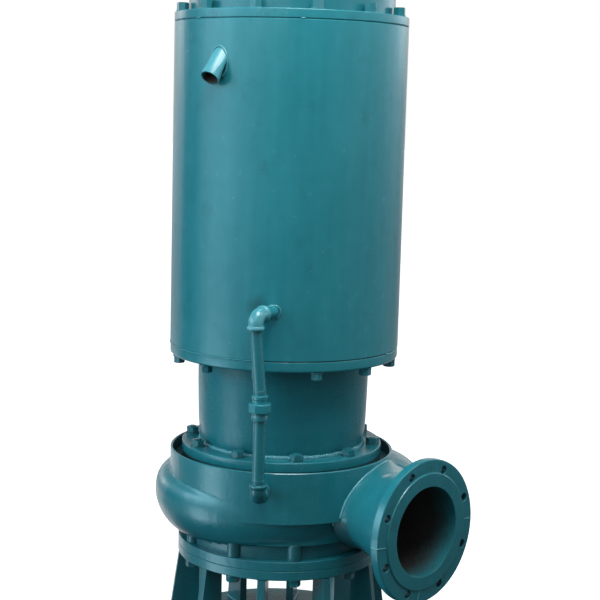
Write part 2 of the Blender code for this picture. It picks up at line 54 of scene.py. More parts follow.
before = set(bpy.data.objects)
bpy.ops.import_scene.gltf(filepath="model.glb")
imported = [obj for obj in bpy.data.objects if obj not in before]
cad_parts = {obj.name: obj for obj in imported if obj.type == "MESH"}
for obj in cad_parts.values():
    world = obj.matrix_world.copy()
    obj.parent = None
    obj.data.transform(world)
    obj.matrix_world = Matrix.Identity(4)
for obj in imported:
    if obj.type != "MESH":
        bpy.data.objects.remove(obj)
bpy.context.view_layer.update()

BOXES = {node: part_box(node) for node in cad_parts}
HOUSING = BOXES["motor_housing"]
HOUSING_RADIUS = (HOUSING[1].x - HOUSING[0].x) / 2 + 0.0003
AXIS = Vector(((HOUSING[0].x + HOUSING[1].x) / 2, (HOUSING[0].y + HOUSING[1].y) / 2, 0.0))
UP = Vector((0.0, 0.0, 1.0))
FULL_TURN = 2 * pi

# Thickness of the bolted plates without their bolts, and other fixed sizes, in metres
CROWN_PLATE = 0.0199
FOOT_PLATE = 0.0235
NECK_PLATE = 0.0215
LID_PLATE = 0.0237
CASING_BOTTOM = 0.2645
IMPELLER_HUB = 0.3297
INNER_CASING = 0.2410
UPPER_ELBOW = (0.1838, -0.2687)
LOWER_ELBOW = (0.1925, -0.2601)


def low(node):
    """Lowest corner of a node, in the pump's axes."""
    return BOXES[node][0] - AXIS


def high(node):
    """Highest corner of a node, in the pump's axes."""
    return BOXES[node][1] - AXIS


def middle(node):
    return (low(node) + high(node)) / 2


def metres(name, text, default):
    return FloatProperty(name=name, description=text, default=default, unit="LENGTH", precision=4)


def turned(name, text, default):
    return FloatProperty(name=name, description=text, default=radians(default), subtype="ANGLE")


def plain(name, text, default):
    return FloatProperty(name=name, description=text, default=default, precision=6)


def tint(name, text, default):
    return FloatVectorProperty(name=name, description=text, default=default, subtype="COLOR",
                               size=3, min=0.0, max=1.0)


class PUMP_PG_paint(bpy.types.PropertyGroup):
    """Colours and gloss of the enamel and of the bare metal."""

    enamel: tint("Enamel", "Teal machine enamel where it is thick", (0.013, 0.190, 0.226))
    enamel_thin: tint("Thin enamel", "Enamel where it is thin or sunlit", (0.032, 0.272, 0.315))
    # Painted highlight: the pale colour that ridges, welds and elbows are lightened towards.
    painted_highlight_colour: tint("Enamel on edges", "Painted highlight on ridges, welds and elbows", (0.150, 0.450, 0.510))
    # Real dust, and also painted shade: low down, in recesses, under the spiral, at the nozzle's root and
    # in the upper elbow's shadow on the shell.
    enamel_dust_and_shade: tint("Enamel in seams", "Enamel where dust gathers, also painted shade", (0.009, 0.070, 0.082))
    iron: tint("Iron", "Wear-resistant iron of the wheels", (0.060, 0.052, 0.045))
    rust: tint("Rust", "Thin rust on bare iron", (0.110, 0.048, 0.022))
    rubber: tint("Rubber", "Seal of the cable gland", (0.012, 0.012, 0.013))
    gloss: plain("Gloss roughness", "Roughness of the enamel", 0.23)


class PUMP_PG_jacket(bpy.types.PropertyGroup):
    """Water jacket with its two flanges and its outlet."""

    radius: metres("Radius", "Outer radius of the shell", high("jacket_shell").x)
    wall: metres("Wall", "Thickness of the shell", 0.008)
    seam: metres("Seam", "Rounding of the edges at the flange seams", 0.0022)
    foot_edge: metres("Foot edge", "Rounding under the bottom flange", 0.0050)
    bolt_circle: metres("Bolt circle", "Radius of the bolt circles", 0.249)
    bolts: IntProperty(name="Bolts", description="Bolts in each flange", default=12)
    top_bolt_angle: turned("Top bolt angle", "Place of the first top bolt", 27.0)
    foot_bolt_angle: turned("Foot bolt angle", "Place of the first bottom bolt", 1.8)
    outlet_angle: turned("Outlet angle", "Place of the outlet round the shell", -80.2)
    outlet_height: metres("Outlet height", "Height of the outlet's root", 1.3545)
    outlet_slope: turned("Outlet slope", "How far the outlet points down", 49.0)
    outlet_length: metres("Outlet length", "Length of the outlet", 0.046)
    outlet_radius: metres("Outlet radius", "Outer radius of the outlet", 0.0212)
    outlet_bore: metres("Outlet bore", "Inner radius of the outlet", 0.0180)


class PUMP_PG_bolting(bpy.types.PropertyGroup):
    """Sizes of the hexagon bolts and nuts."""

    head_flats: metres("Head", "Across the flats of a bolt head", 0.024)
    head_height: metres("Head height", "Height of a bolt head", 0.0115)
    nut_flats: metres("Nut", "Across the flats of a neck nut", 0.027)
    nut_height: metres("Nut height", "Height of a neck nut", 0.0135)
    stud: metres("Stud", "Radius of the neck studs", 0.009)
    washer: metres("Washer", "Thickness of a washer", 0.0025)
    casing_bolts: IntProperty(name="Casing bolts", description="Studs round the casing", default=10)
    neck_circle: metres("Neck circle", "Radius of the neck's stud circle", 0.215)
    stand_circle: metres("Stand circle", "Radius of the stand's stud circle", 0.2235)


class PUMP_PG_casing(bpy.types.PropertyGroup):
    """Ring wall, collar, spiral and bosses of the casing."""

    ring_radius: metres("Ring wall", "Outer radius of the ring wall", 0.2610)
    ring_lip: metres("Lip", "Thickness of the ring wall at its rim", 0.0055)
    ring_bottom: metres("Ring wall foot", "Height of the ring wall's lower edge", 0.3570)
    collar_radius: metres("Collar", "Radius of the collar under the ring wall", 0.2320)
    skirt_radius: metres("Skirt", "Radius of the skirt between the bosses", 0.2220)
    skirt_top: metres("Skirt top", "Height where the collar starts", 0.2990)
    chamber: metres("Chamber", "Radius of the impeller chamber", 0.1950)
    seat: metres("Seat", "Height of the cover's seat", 0.4300)
    spiral_root: metres("Spiral root", "Radius that the spiral grows from", 0.2195)
    spiral_width: metres("Spiral width", "Reach of the spiral at the front", 0.0320)
    spiral_growth: plain("Spiral growth", "Growth in metres a degree", 0.000493)
    spiral_turn: plain("Spiral turn", "Degrees where it starts to close", 215.0)
    spiral_return: plain("Spiral return", "How fast it closes", 0.000017)
    cast_fillet: metres("Fillet", "Rounding where cast forms meet", 0.006)
    boss_radius: metres("Boss", "Radius of a bolting boss", 0.0150)


class PUMP_PG_discharge(bpy.types.PropertyGroup):
    """Nozzle and pipe flange of the discharge."""

    offset: metres("Offset", "How far the flange's centre is off the shaft", 0.0270)
    height: metres("Height", "Height of the flange's centre", middle("discharge_flange").z)
    bore: metres("Bore", "Radius of the bore at the face", 0.1000)
    throat: metres("Throat", "Radius of the bore at the chamber", 0.0780)
    nozzle_radius: metres("Nozzle", "Outer radius of the nozzle at the flange", 0.1165)
    root_x: metres("Root", "Distance of the root section from the shaft", 0.2550)
    root_y: metres("Root offset", "Centre of the root section", 0.0750)
    root_front: metres("Root front", "Reach of the root section to the front", 0.1350)
    root_back: metres("Root back", "Back edge of the root section", 0.2100)
    root_height: metres("Root height", "Half height of the root section", 0.1020)
    root_drop: metres("Root drop", "Half height of the root section below", 0.0870)
    raised_face: metres("Raised face", "Radius of the raised face", 0.1295)
    raised_height: metres("Raised height", "Height of the raised face", 0.0030)
    bolt_circle: metres("Bolt circle", "Radius of the bolt circle", 0.1400)
    hole: metres("Hole", "Radius of a bolt hole", 0.0090)
    holes: IntProperty(name="Holes", description="Bolt holes in the flange", default=8)


class PUMP_PG_bypass(bpy.types.PropertyGroup):
    """Screwed cooling pipe from the jacket's foot to the casing."""

    pipe: metres("Pipe", "Outer radius of the pipe", 0.01345)
    fitting: metres("Fitting", "Outer radius of an elbow's body", 0.0165)
    bead: metres("Bead", "Outer radius of a fitting's bead", 0.0190)
    reach: metres("Reach", "From an elbow's centre to its face", 0.031)
    bend: metres("Bend", "Radius of an elbow's bend", 0.019)
    union_tail: metres("Union tail", "Outer radius of the union's tails", 0.0175)


class PUMP_PG_stage(bpy.types.PropertyGroup):
    """Camera and soft light."""

    lens: plain("Lens", "Focal length in millimetres", 83.26)
    distance: metres("Distance", "From the camera to the shaft", 3.2006)
    height: metres("Height", "Height of the camera", 1.2706)
    azimuth: turned("Azimuth", "Turn of the view from +Y", 45.0)
    yaw: turned("Yaw", "Turn of the lens to the right", 0.623)
    pitch: turned("Pitch", "Tilt of the lens downwards", 8.031)
    roll: turned("Roll", "Roll of the camera", 1.530)
    overhead: plain("Overhead light", "Power in watts", 24.0)
    front: plain("Front light", "Power in watts", 25.0)
    front_left: plain("Front left light", "Power in watts", 7.5)
    right: plain("Right light", "Power in watts", 9.0)


def settings(group):
    return getattr(bpy.context.scene, "pump_" + group)


class Wire:
    """An output socket of a node tree. Arithmetic on it adds Math nodes."""

    def __init__(self, nodes, socket):
        self.nodes = nodes
        self.socket = socket

    def reckon(self, operation, first, second):
        return self.nodes.add("ShaderNodeMath", {"operation": operation}, {0: first, 1: second})

    def __add__(self, other):
        return self.reckon("ADD", self, other)

    def __sub__(self, other):
        return self.reckon("SUBTRACT", self, other)

    def __rsub__(self, other):
        return self.reckon("SUBTRACT", other, self)

    def __mul__(self, other):
        return self.reckon("MULTIPLY", self, other)

    def __truediv__(self, other):
        return self.reckon("DIVIDE", self, other)

    __radd__ = __add__
    __rmul__ = __mul__


class NodeMaker:
    """Adds nodes to the tree of a material or a world, and feeds its shader."""

    def __init__(self, owner, shader="Principled BSDF", coordinates=3):
        owner.use_nodes = True
        self.owner = owner
        self.tree = owner.node_tree
        self.shader = self.tree.nodes[shader]
        self.place = self.add("ShaderNodeTexCoord", output=coordinates)

    def feed(self, node, sockets):
        for key, value in sockets.items():
            if isinstance(value, Wire):
                self.tree.links.new(value.socket, node.inputs[key])
            else:
                node.inputs[key].default_value = value

    def add(self, kind, choices=None, sockets=None, output=0):
        """Add a node: its settings come first, then the values or links of its sockets."""
        node = self.tree.nodes.new(kind)
        for name, value in (choices or {}).items():
            if name == "stops":
                self.set_stops(node.color_ramp, value)
            else:
                setattr(node, name, value)
        self.feed(node, sockets or {})
        return Wire(self, node.outputs[output])

    def set_stops(self, ramp, stops):
        while len(ramp.elements) < len(stops):
            ramp.elements.new(1.0)
        for element, (position, colour) in zip(ramp.elements, stops):
            element.position = position
            element.color = (*colour, 1.0)

    def noise(self, scale, detail=2.0, roughness=0.5, stretch=None):
        """Noise over the piece, stretched by its own scale along each axis if that is given."""
        place = self.place
        if stretch:
            place = self.add("ShaderNodeMapping", None, {"Vector": place, "Scale": stretch})
        return self.add("ShaderNodeTexNoise", None,
                        {"Vector": place, "Scale": scale, "Detail": detail, "Roughness": roughness})

    def ramp(self, value, start, end, low_value=0.0, high_value=1.0):
        """Value rescaled between two ends and held at them."""
        return self.add("ShaderNodeMapRange", {"clamp": True},
                        {0: value, 1: start, 2: end, 3: low_value, 4: high_value})

    def mix(self, amount, first, second):
        first, second = (item if isinstance(item, Wire) else (*item, 1.0) for item in (first, second))
        return self.add("ShaderNodeMix", {"data_type": "RGBA", "clamp_factor": True},
                        {0: amount, 6: first, 7: second}, output=2)

    def along(self, axis, place=None):
        """Position along one axis."""
        return self.add("ShaderNodeSeparateXYZ", None, {0: place or self.place}, output=axis)

    def measure(self, operation, vector):
        """Distance to a vector, or the dot product with it."""
        return self.add("ShaderNodeVectorMath", {"operation": operation},
                        {0: self.place, 1: vector}, output=1)

    def relief(self, height, distance, strength):
        bump = {"Height": height, "Distance": distance, "Strength": strength}
        self.feed(self.shader, {"Normal": self.add("ShaderNodeBump", None, bump)})


def enamel(nodes, cast=0.0, worn=0.0, gloss_shift=0.0, grime_and_shade=0.0, pale=0.0, shine=0.5, spot_and_shadow=None,
           root_shade_plane=None):
    """Brushed and sprayed machine enamel.

    Cast adds the sand texture of a casting and worn its dust. The darkening amount darkens the
    whole finish: painted shade in recesses and under the spiral, grime and painted shade on bolts,
    drum, stand, pipe and neck. The pale amount lightens it towards the highlight colour, a painted
    highlight on ridges, welds and elbows. A spot has a place, a reach, a strength and a colour: a
    real paint spot on the nozzle, and on the shell a painted shadow of the upper elbow. The shade
    plane, a slope and a level, bounds a dark part of the nozzle's root under the ring wall, which is
    painted shade. Every finish is also painted darker towards the bottom, as shade.
    """
    paint = settings("paint")
    deep = paint.enamel_dust_and_shade
    broad = nodes.noise(3.2)
    mottle = nodes.noise(38.0, 4.0, 0.55)
    runs = nodes.noise(1.0, 3.0, stretch=(42.0, 42.0, 3.0))
    shade = (broad - 0.5) * 1.1 + (runs - 0.5) * 0.7 + (mottle - 0.5) * 0.5 + 0.42
    colour = nodes.mix(nodes.ramp(shade, 0.0, 1.0), paint.enamel, paint.enamel_thin)
    dust = nodes.ramp(nodes.noise(17.0, 6.0, 0.65), 0.58, 0.78, 0.0, 0.35 + worn)
    colour = nodes.mix(dust, colour, deep)
    height = nodes.along(2)
    # Painted shade: the enamel is darker towards the bottom, where less light falls.
    painted_low_shade = nodes.ramp(height, 0.20, 0.58, 0.28, 0.0)
    colour = nodes.mix(painted_low_shade * (mottle + 0.5), colour, deep)
    # Darkening towards the dark colour: painted shade in recesses and under the spiral, grime and painted
    # shade on bolts, drum, stand, pipe and neck.
    if grime_and_shade:
        colour = nodes.mix(mottle * 0.3 + grime_and_shade, colour, deep)
    # A spot: a real paint spot on the nozzle, and on the shell a painted shadow of the upper elbow in the
    # dark enamel colour.
    if spot_and_shadow:
        spot, reach, strength, stain = spot_and_shadow
        ragged = nodes.measure("DISTANCE", spot) + (mottle - 0.5) * (reach * 0.7)
        spot_and_shadow_mask = nodes.ramp(ragged, reach * 0.25, reach, strength, 0.0)
        colour = nodes.mix(spot_and_shadow_mask, colour, stain or deep)
    # Painted highlight: ridges, welds and elbows are lightened towards the pale edge colour.
    if pale:
        colour = nodes.mix(mottle * 0.6 + pale, colour, paint.painted_highlight_colour)
    gloss = (mottle - 0.5) * 0.20 + (broad - 0.5) * 0.10 + dust * 0.25
    # Painted shade: the nozzle's root under the ring wall is darkened up to a slanted plane.
    if root_shade_plane:
        slope, level = root_shade_plane
        top = settings("casing").ring_bottom
        root_shade = nodes.ramp(nodes.measure("DOT_PRODUCT", slope), level - 0.003, level + 0.002, 0.8, 0.0)
        root_shade = root_shade * nodes.ramp(height, top - 0.003, top + 0.001, 1.0, 0.0)
        colour = nodes.mix(root_shade, colour, deep)
        gloss = gloss + root_shade * 0.35
    peel = nodes.noise(330.0, 1.0)
    sag = nodes.noise(1.0, stretch=(30.0, 30.0, 8.0))
    relief = peel * 0.045 + sag * 1.1
    if cast:
        sand = nodes.noise(150.0, 3.0, 0.62)
        lumps = nodes.noise(28.0)
        relief = relief + sand * (0.55 * cast) + lumps * (1.9 * cast)
    nodes.relief(relief, 0.0011, 0.55)
    nodes.feed(nodes.shader, {"Base Color": colour, "Roughness": gloss + (paint.gloss + gloss_shift),
                              "IOR": 1.6, "Specular IOR Level": shine})


def bare_iron(nodes):
    """Cast iron with its skin on and a thin bloom of rust."""
    paint = settings("paint")
    patches = nodes.ramp(nodes.noise(14.0, 6.0, 0.6), 0.42, 0.66)
    nodes.feed(nodes.shader, {"Base Color": nodes.mix(patches, paint.iron, paint.rust),
                              "Metallic": (1.0 - patches) * 0.7, "Roughness": patches * 0.25 + 0.5})
    nodes.relief(nodes.noise(190.0, 6.0, 0.65), 0.0012, 0.8)


def bore_coating(nodes):
    """Inside of the discharge: overspray of enamel near the face, dark iron further in."""
    paint = settings("paint")
    ragged = (nodes.noise(16.0, 5.0, 0.6) - 0.5) * 0.09
    face = high("discharge_flange").x + AXIS.x
    depth = nodes.ramp(nodes.along(0) + ragged, face - 0.070, face - 0.004, 0.0, 0.85)
    nodes.feed(nodes.shader, {"Base Color": nodes.mix(depth, paint.iron, paint.enamel),
                              "Roughness": nodes.noise(40.0, 3.0) * 0.3 + 0.28})
    nodes.relief(nodes.noise(120.0, 5.0, 0.6) + nodes.noise(24.0) * 1.5, 0.0014, 0.7)


def rubber(nodes):
    bloom = nodes.ramp(nodes.noise(90.0, 4.0), 0.4, 0.7, 0.0, 0.3)
    nodes.feed(nodes.shader, {
        "Base Color": nodes.mix(bloom, settings("paint").rubber, (0.05, 0.05, 0.05)),
        "Roughness": bloom * 0.4 + 0.6})


def pale_floor(nodes):
    tone = nodes.ramp(nodes.noise(0.8, 4.0), 0.3, 0.7)
    nodes.feed(nodes.shader, {
        "Base Color": nodes.mix(tone, (0.86, 0.86, 0.85), (0.90, 0.90, 0.89)), "Roughness": 0.9,
        "Emission Color": (1.0, 1.0, 1.0, 1.0), "Emission Strength": 0.85})


def polar(radius, angle, height=0.0):
    return Vector((radius * cos(angle), radius * sin(angle), height))


ENAMELS = {
    "sheet enamel": dict(),
    "cast enamel": dict(cast=1.0),
    "fitting enamel": dict(cast=0.5, worn=0.1, gloss_shift=-0.03),
    # The bolt, neck, pipe, drum and stand enamels are darkened for grime and as painted shade.
    "bolt enamel": dict(cast=0.3, worn=0.35, grime_and_shade=0.20),
    # The shell carries a painted shadow of the upper elbow beside it.
    "shell enamel": dict(spot_and_shadow=(polar(0.266, radians(-57.8), 0.842) + AXIS, 0.030, 0.55, None)),
    # The nozzle carries painted shade at its root under the ring wall, and a real paint spot.
    "nozzle enamel": dict(cast=1.0, root_shade_plane=((1.0, 0.5, 0.25), 0.263), spot_and_shadow=(
        polar(0.3090, radians(4.6), 0.459) + AXIS, 0.013, 0.6, (0.60, 0.60, 0.62))),
    "neck enamel": dict(cast=0.7, worn=0.1, gloss_shift=0.05, grime_and_shade=0.06, shine=0.24),
    "pipe enamel": dict(cast=0.4, worn=0.2, gloss_shift=0.05, grime_and_shade=0.12),
    "drum enamel": dict(worn=0.1, grime_and_shade=0.22),
    # The elbow, weld and ridge enamels are lightened as a painted highlight.
    "elbow enamel": dict(cast=0.5, worn=0.1, gloss_shift=-0.03, pale=0.12),
    "weld enamel": dict(cast=0.6, gloss_shift=-0.06, pale=0.05),
    "ridge enamel": dict(cast=0.2, gloss_shift=-0.08, pale=0.45),
    # Painted shade under the spiral, on the skirt and the bosses.
    "grimy enamel": dict(cast=1.0, worn=0.2, gloss_shift=0.08, grime_and_shade=0.35),
    "stand enamel": dict(worn=0.1, grime_and_shade=0.22),
    # Painted shade in recesses: the groove round the cover, the inside of the ring wall and the flange's
    # bolt holes.
    "groove enamel": dict(cast=1.0, worn=0.3, gloss_shift=0.3, grime_and_shade=0.8),
}
OTHER_FINISHES = {"bare iron": bare_iron, "bore coating": bore_coating, "gland rubber": rubber,
                  "pale floor": pale_floor}


@cache
def finish_named(name):
    """Material of a finish, made when it is first asked for."""
    nodes = NodeMaker(bpy.data.materials.new(name.replace(" ", "_")))
    if name in ENAMELS:
        enamel(nodes, **ENAMELS[name])
    else:
        OTHER_FINISHES[name](nodes)
    return nodes.owner


def aligned(direction, position=(0, 0, 0)):
    """Matrix that takes local +Z to a direction and the origin to a position."""
    turn = Vector(direction).to_track_quat("Z", "Y").to_matrix().to_4x4()
    return Matrix.Translation(position) @ turn


def rounded(corners, steps=3):
    """Outline points from (radius, height, rounding) corners of a closed profile."""
    points = []
    for index, (radius, height, rounding) in enumerate(corners):
        here = Vector((radius, height))
        if rounding <= 0.0:
            points.append(here)
            continue
        before = Vector(corners[index - 1][:2])
        after = Vector(corners[(index + 1) % len(corners)][:2])
        start = here + (before - here).normalized() * rounding
        end = here + (after - here).normalized() * rounding
        for step in range(steps + 1):
            part = step / steps
            points.append(start * (1 - part) ** 2 + here * 2 * part * (1 - part) + end * part ** 2)
    return points


def circle_points(radius, height, count, start=0.0, sweep=FULL_TURN):
    return [polar(radius, start + sweep * index / count, height) for index in range(count)]


def new_verts(bm, before):
    """Verts added since before, after those at one place are merged."""
    made = [vert for vert in bm.verts if vert not in before]
    bmesh.ops.remove_doubles(bm, verts=made, dist=0.000001)
    return [vert for vert in bm.verts if vert not in before]


def verts_of(geometry):
    return [item for item in geometry if isinstance(item, bmesh.types.BMVert)]


def bevel(bm, edges, offset, segments):
    bmesh.ops.bevel(bm, geom=edges, offset=offset, affect="EDGES", segments=segments, profile=0.5,
                    material=-1)


def spin_profile(bm, points, segments, matrix=None, closed=True):
    """Turn a profile of (radius, height) points into a closed solid and return its verts."""
    before = set(bm.verts)
    verts = [bm.verts.new((point[0], 0.0, point[1])) for point in points]
    edges = [bm.edges.new(pair) for pair in zip(verts, verts[1:])]
    if closed:
        edges.append(bm.edges.new((verts[-1], verts[0])))
    bmesh.ops.spin(bm, geom=verts + edges, cent=(0, 0, 0), axis=(0, 0, 1), dvec=(0, 0, 0),
                   angle=FULL_TURN, steps=segments, use_merge=True, use_duplicate=False)
    made = new_verts(bm, before)
    if matrix:
        bmesh.ops.transform(bm, matrix=matrix, verts=made)
    return made


def spun(outline, segments, *places):
    """A new bmesh with the same open profile turned at each place."""
    bm = bmesh.new()
    for place in places:
        spin_profile(bm, outline, segments, place, closed=False)
    return bm


def rod(start, end, radius, segments=48, edge=0.0):
    start = Vector(start)
    along = Vector(end) - start
    length = along.length
    outline = [(0.0, 0.0), (radius, 0.0), (radius, length), (0.0, length)]
    if edge:
        outline[1:3] = [(radius - edge, 0.0), (radius, edge), (radius, length - edge),
                        (radius - edge, length)]
    return spun(outline, segments, aligned(along, start))


def add_tube(bm, points, radii, cyclic=False, sides_step=2):
    """Round tube with its own radius at each point, from a curve with filled caps."""
    curve = bpy.data.curves.new("tube", "CURVE")
    curve.dimensions = "3D"
    curve.bevel_depth = 1.0
    curve.bevel_resolution = sides_step
    curve.use_fill_caps = True
    spline = curve.splines.new("POLY")
    spline.points.add(len(points) - 1)
    spline.use_cyclic_u = cyclic
    for spot, place, radius in zip(spline.points, points, radii):
        spot.co = (*place, 1.0)
        spot.radius = radius
    holder = bpy.data.objects.new("tube", curve)
    bpy.context.scene.collection.objects.link(holder)
    bpy.context.view_layer.update()
    mesh = bpy.data.meshes.new_from_object(
        holder.evaluated_get(bpy.context.evaluated_depsgraph_get()))
    bpy.data.curves.remove(curve)
    before = set(bm.verts)
    bm.from_mesh(mesh)
    bpy.data.meshes.remove(mesh)
    new_verts(bm, before)


def weld_bead(bm, points, radius, seed, cyclic=True, ripple=0.18):
    """Uneven weld bead along close points: scales of cooled metal, with lumps here and there."""
    draw = random.Random(seed)
    noise.seed_set(seed)
    phase = draw.random() * 10.0
    places, radii = [], []
    for index, point in enumerate(points):
        scale = 1.0 + ripple * sin(index * 2.1 + phase) * (0.6 + 0.4 * draw.random())
        swell = 0.22 * noise.noise(Vector((index * 0.11, phase, 0.0)))
        radii.append(radius * (scale + swell))
        drift = noise.noise_vector(Vector((index * 0.17, phase, 4.0))) * radius * 0.35
        places.append(Vector(point) + drift)
    add_tube(bm, places, radii, cyclic)


def bead_piece(name, beads, finish="weld enamel", sharp=50):
    """Piece of one or more weld beads, each given by what weld_bead takes."""
    bm = bmesh.new()
    for bead in beads:
        weld_bead(bm, *bead)
    finish_piece(name, bm, finish, sharp=sharp)


def add_hexagon(bm, matrix, flats, height, both_ends=False):
    """Hexagon head or nut from local z 0 upwards, with the chamfer that turning leaves."""
    inner = flats / 2 * 0.955
    sixth = radians(60)
    made = bmesh.ops.create_cone(bm, cap_ends=True, cap_tris=False, segments=36, radius1=1.0,
                                 radius2=1.0, depth=1.0)["verts"]
    caps = [face for face in {face for vert in made for face in vert.link_faces}
            if len(face.verts) > 4]
    worked = [face for face in caps if both_ends or face.calc_center_median().z > 0]
    rims = {vert for face in worked for vert in face.verts}
    bmesh.ops.inset_individual(bm, faces=worked, thickness=0.1)
    inset = {vert for face in worked for vert in face.verts}
    every = set(made) | inset
    for vert in every:
        angle = atan2(vert.co.y, vert.co.x)
        radius = flats / 2 / cos((angle + sixth / 2) % sixth - sixth / 2)
        is_top = vert.co.z > 0
        level = height if is_top else 0.0
        if vert in inset:
            radius = inner
        elif vert in rims:
            fall = max(radius - inner, 0.0) * tan(radians(28))
            level += -fall if is_top else fall
        vert.co = polar(radius, angle, level)
    bmesh.ops.transform(bm, matrix=matrix, verts=list(every))


def add_washer(bm, matrix, radius, thickness):
    outline = rounded([(radius, thickness, thickness * 0.25), (radius, 0.0, 0.0), (0.0, 0.0, 0.0),
                       (0.0, thickness, 0.0)], 2)
    spin_profile(bm, outline[:-1] + [Vector((0.0, thickness))], 28, matrix, closed=False)


def add_stud_end(bm, matrix, radius, length, pitch=0.0020):
    """Threaded end of a stud above its nut."""
    outline = [(0.0, -0.002), (radius * 0.9, -0.002), (radius * 0.9, 0.0)]
    level = 0.0
    while level + pitch < length - 0.0015:
        outline += [(radius * 0.90, level + pitch * 0.1), (radius, level + pitch * 0.5)]
        level += pitch
    outline += [(radius * 0.92, length - 0.0012), (radius * 0.74, length), (0.0, length)]
    spin_profile(bm, outline, 20, matrix, closed=False)


def bolt_row(name, count, circle, first_angle, level, facing, nut=False, seed=1, taller=0.0):
    """Ring of bolts or of nuts on studs, as one piece."""
    bolting = settings("bolting")
    draw = random.Random(seed)
    bm = bmesh.new()
    flats = bolting.nut_flats if nut else bolting.head_flats
    height = (bolting.nut_height if nut else bolting.head_height) + taller
    for spot in circle_points(circle, level, count, first_angle):
        tilt = Matrix.Rotation(draw.uniform(-0.02, 0.02), 4, "X")
        matrix = aligned(Vector((0, 0, facing)), spot) @ tilt
        turn = Matrix.Rotation(draw.uniform(0, radians(60)), 4, "Z")
        add_washer(bm, matrix, flats * 0.60, bolting.washer)
        on_washer = matrix @ Matrix.Translation((0, 0, bolting.washer)) @ turn
        add_hexagon(bm, on_washer, flats, height, both_ends=nut)
        if nut:
            end = on_washer @ Matrix.Translation((0, 0, height - 0.001))
            add_stud_end(bm, end, bolting.stud, draw.uniform(0.0015, 0.0040))
    finish_piece(name, bm, "bolt enamel", sharp=25)


def placed(name, bm):
    """Linked object of a bmesh that is in the pump's axes."""
    bmesh.ops.translate(bm, verts=bm.verts, vec=AXIS)
    bmesh.ops.recalc_face_normals(bm, faces=bm.faces)
    mesh = bpy.data.meshes.new(name)
    bm.to_mesh(mesh)
    bm.free()
    piece = bpy.data.objects.new(name, mesh)
    bpy.context.scene.collection.objects.link(piece)
    return piece


def smooth(mesh, sharp):
    mesh.shade_smooth()
    mesh.set_sharp_from_angle(angle=radians(sharp))


def finish_piece(name, bm, finishes, replaces=(), sharp=34, even=False):
    """Turn a bmesh in the pump's axes into a finished piece that rides with the model.

    Finishes are named with commas between them, and a face picks one by its material index.
    """
    piece = placed(name, bm)
    smooth(piece.data, sharp)
    for finish in finishes.split(", "):
        piece.data.materials.append(finish_named(finish))
    if even:
        piece.modifiers.new("Even shading", "WEIGHTED_NORMAL").keep_sharp = True
    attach(piece, "root")
    if replaces:
        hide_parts(*replaces)
    return piece


def cut_piece(piece, cutter_bm):
    """Cut a bmesh in the pump's axes out of a finished piece's own mesh."""
    cutter = placed("cutter", cutter_bm)
    others = list(piece.modifiers)
    change = piece.modifiers.new("Cut", "BOOLEAN")
    change.solver = "EXACT"
    change.object = cutter
    for modifier in others:
        modifier.show_viewport = False
    bpy.context.view_layer.update()
    shaped = piece.evaluated_get(bpy.context.evaluated_depsgraph_get())
    old = piece.data
    piece.data = bpy.data.meshes.new_from_object(shaped)
    piece.modifiers.remove(change)
    for modifier in others:
        modifier.show_viewport = True
    piece.data.name = piece.name
    for mesh in (old, cutter.data):
        bpy.data.meshes.remove(mesh)
    smooth(piece.data, 30)


def ring_piece(name, corners, finishes, replaces, segments=256, matrix=None):
    bm = bmesh.new()
    spin_profile(bm, rounded(corners), segments, matrix)
    return finish_piece(name, bm, finishes, replaces, even=True)


def crown_level():
    """Height of the top face of the jacket's top flange."""
    return low("jacket_top_flange").z + CROWN_PLATE


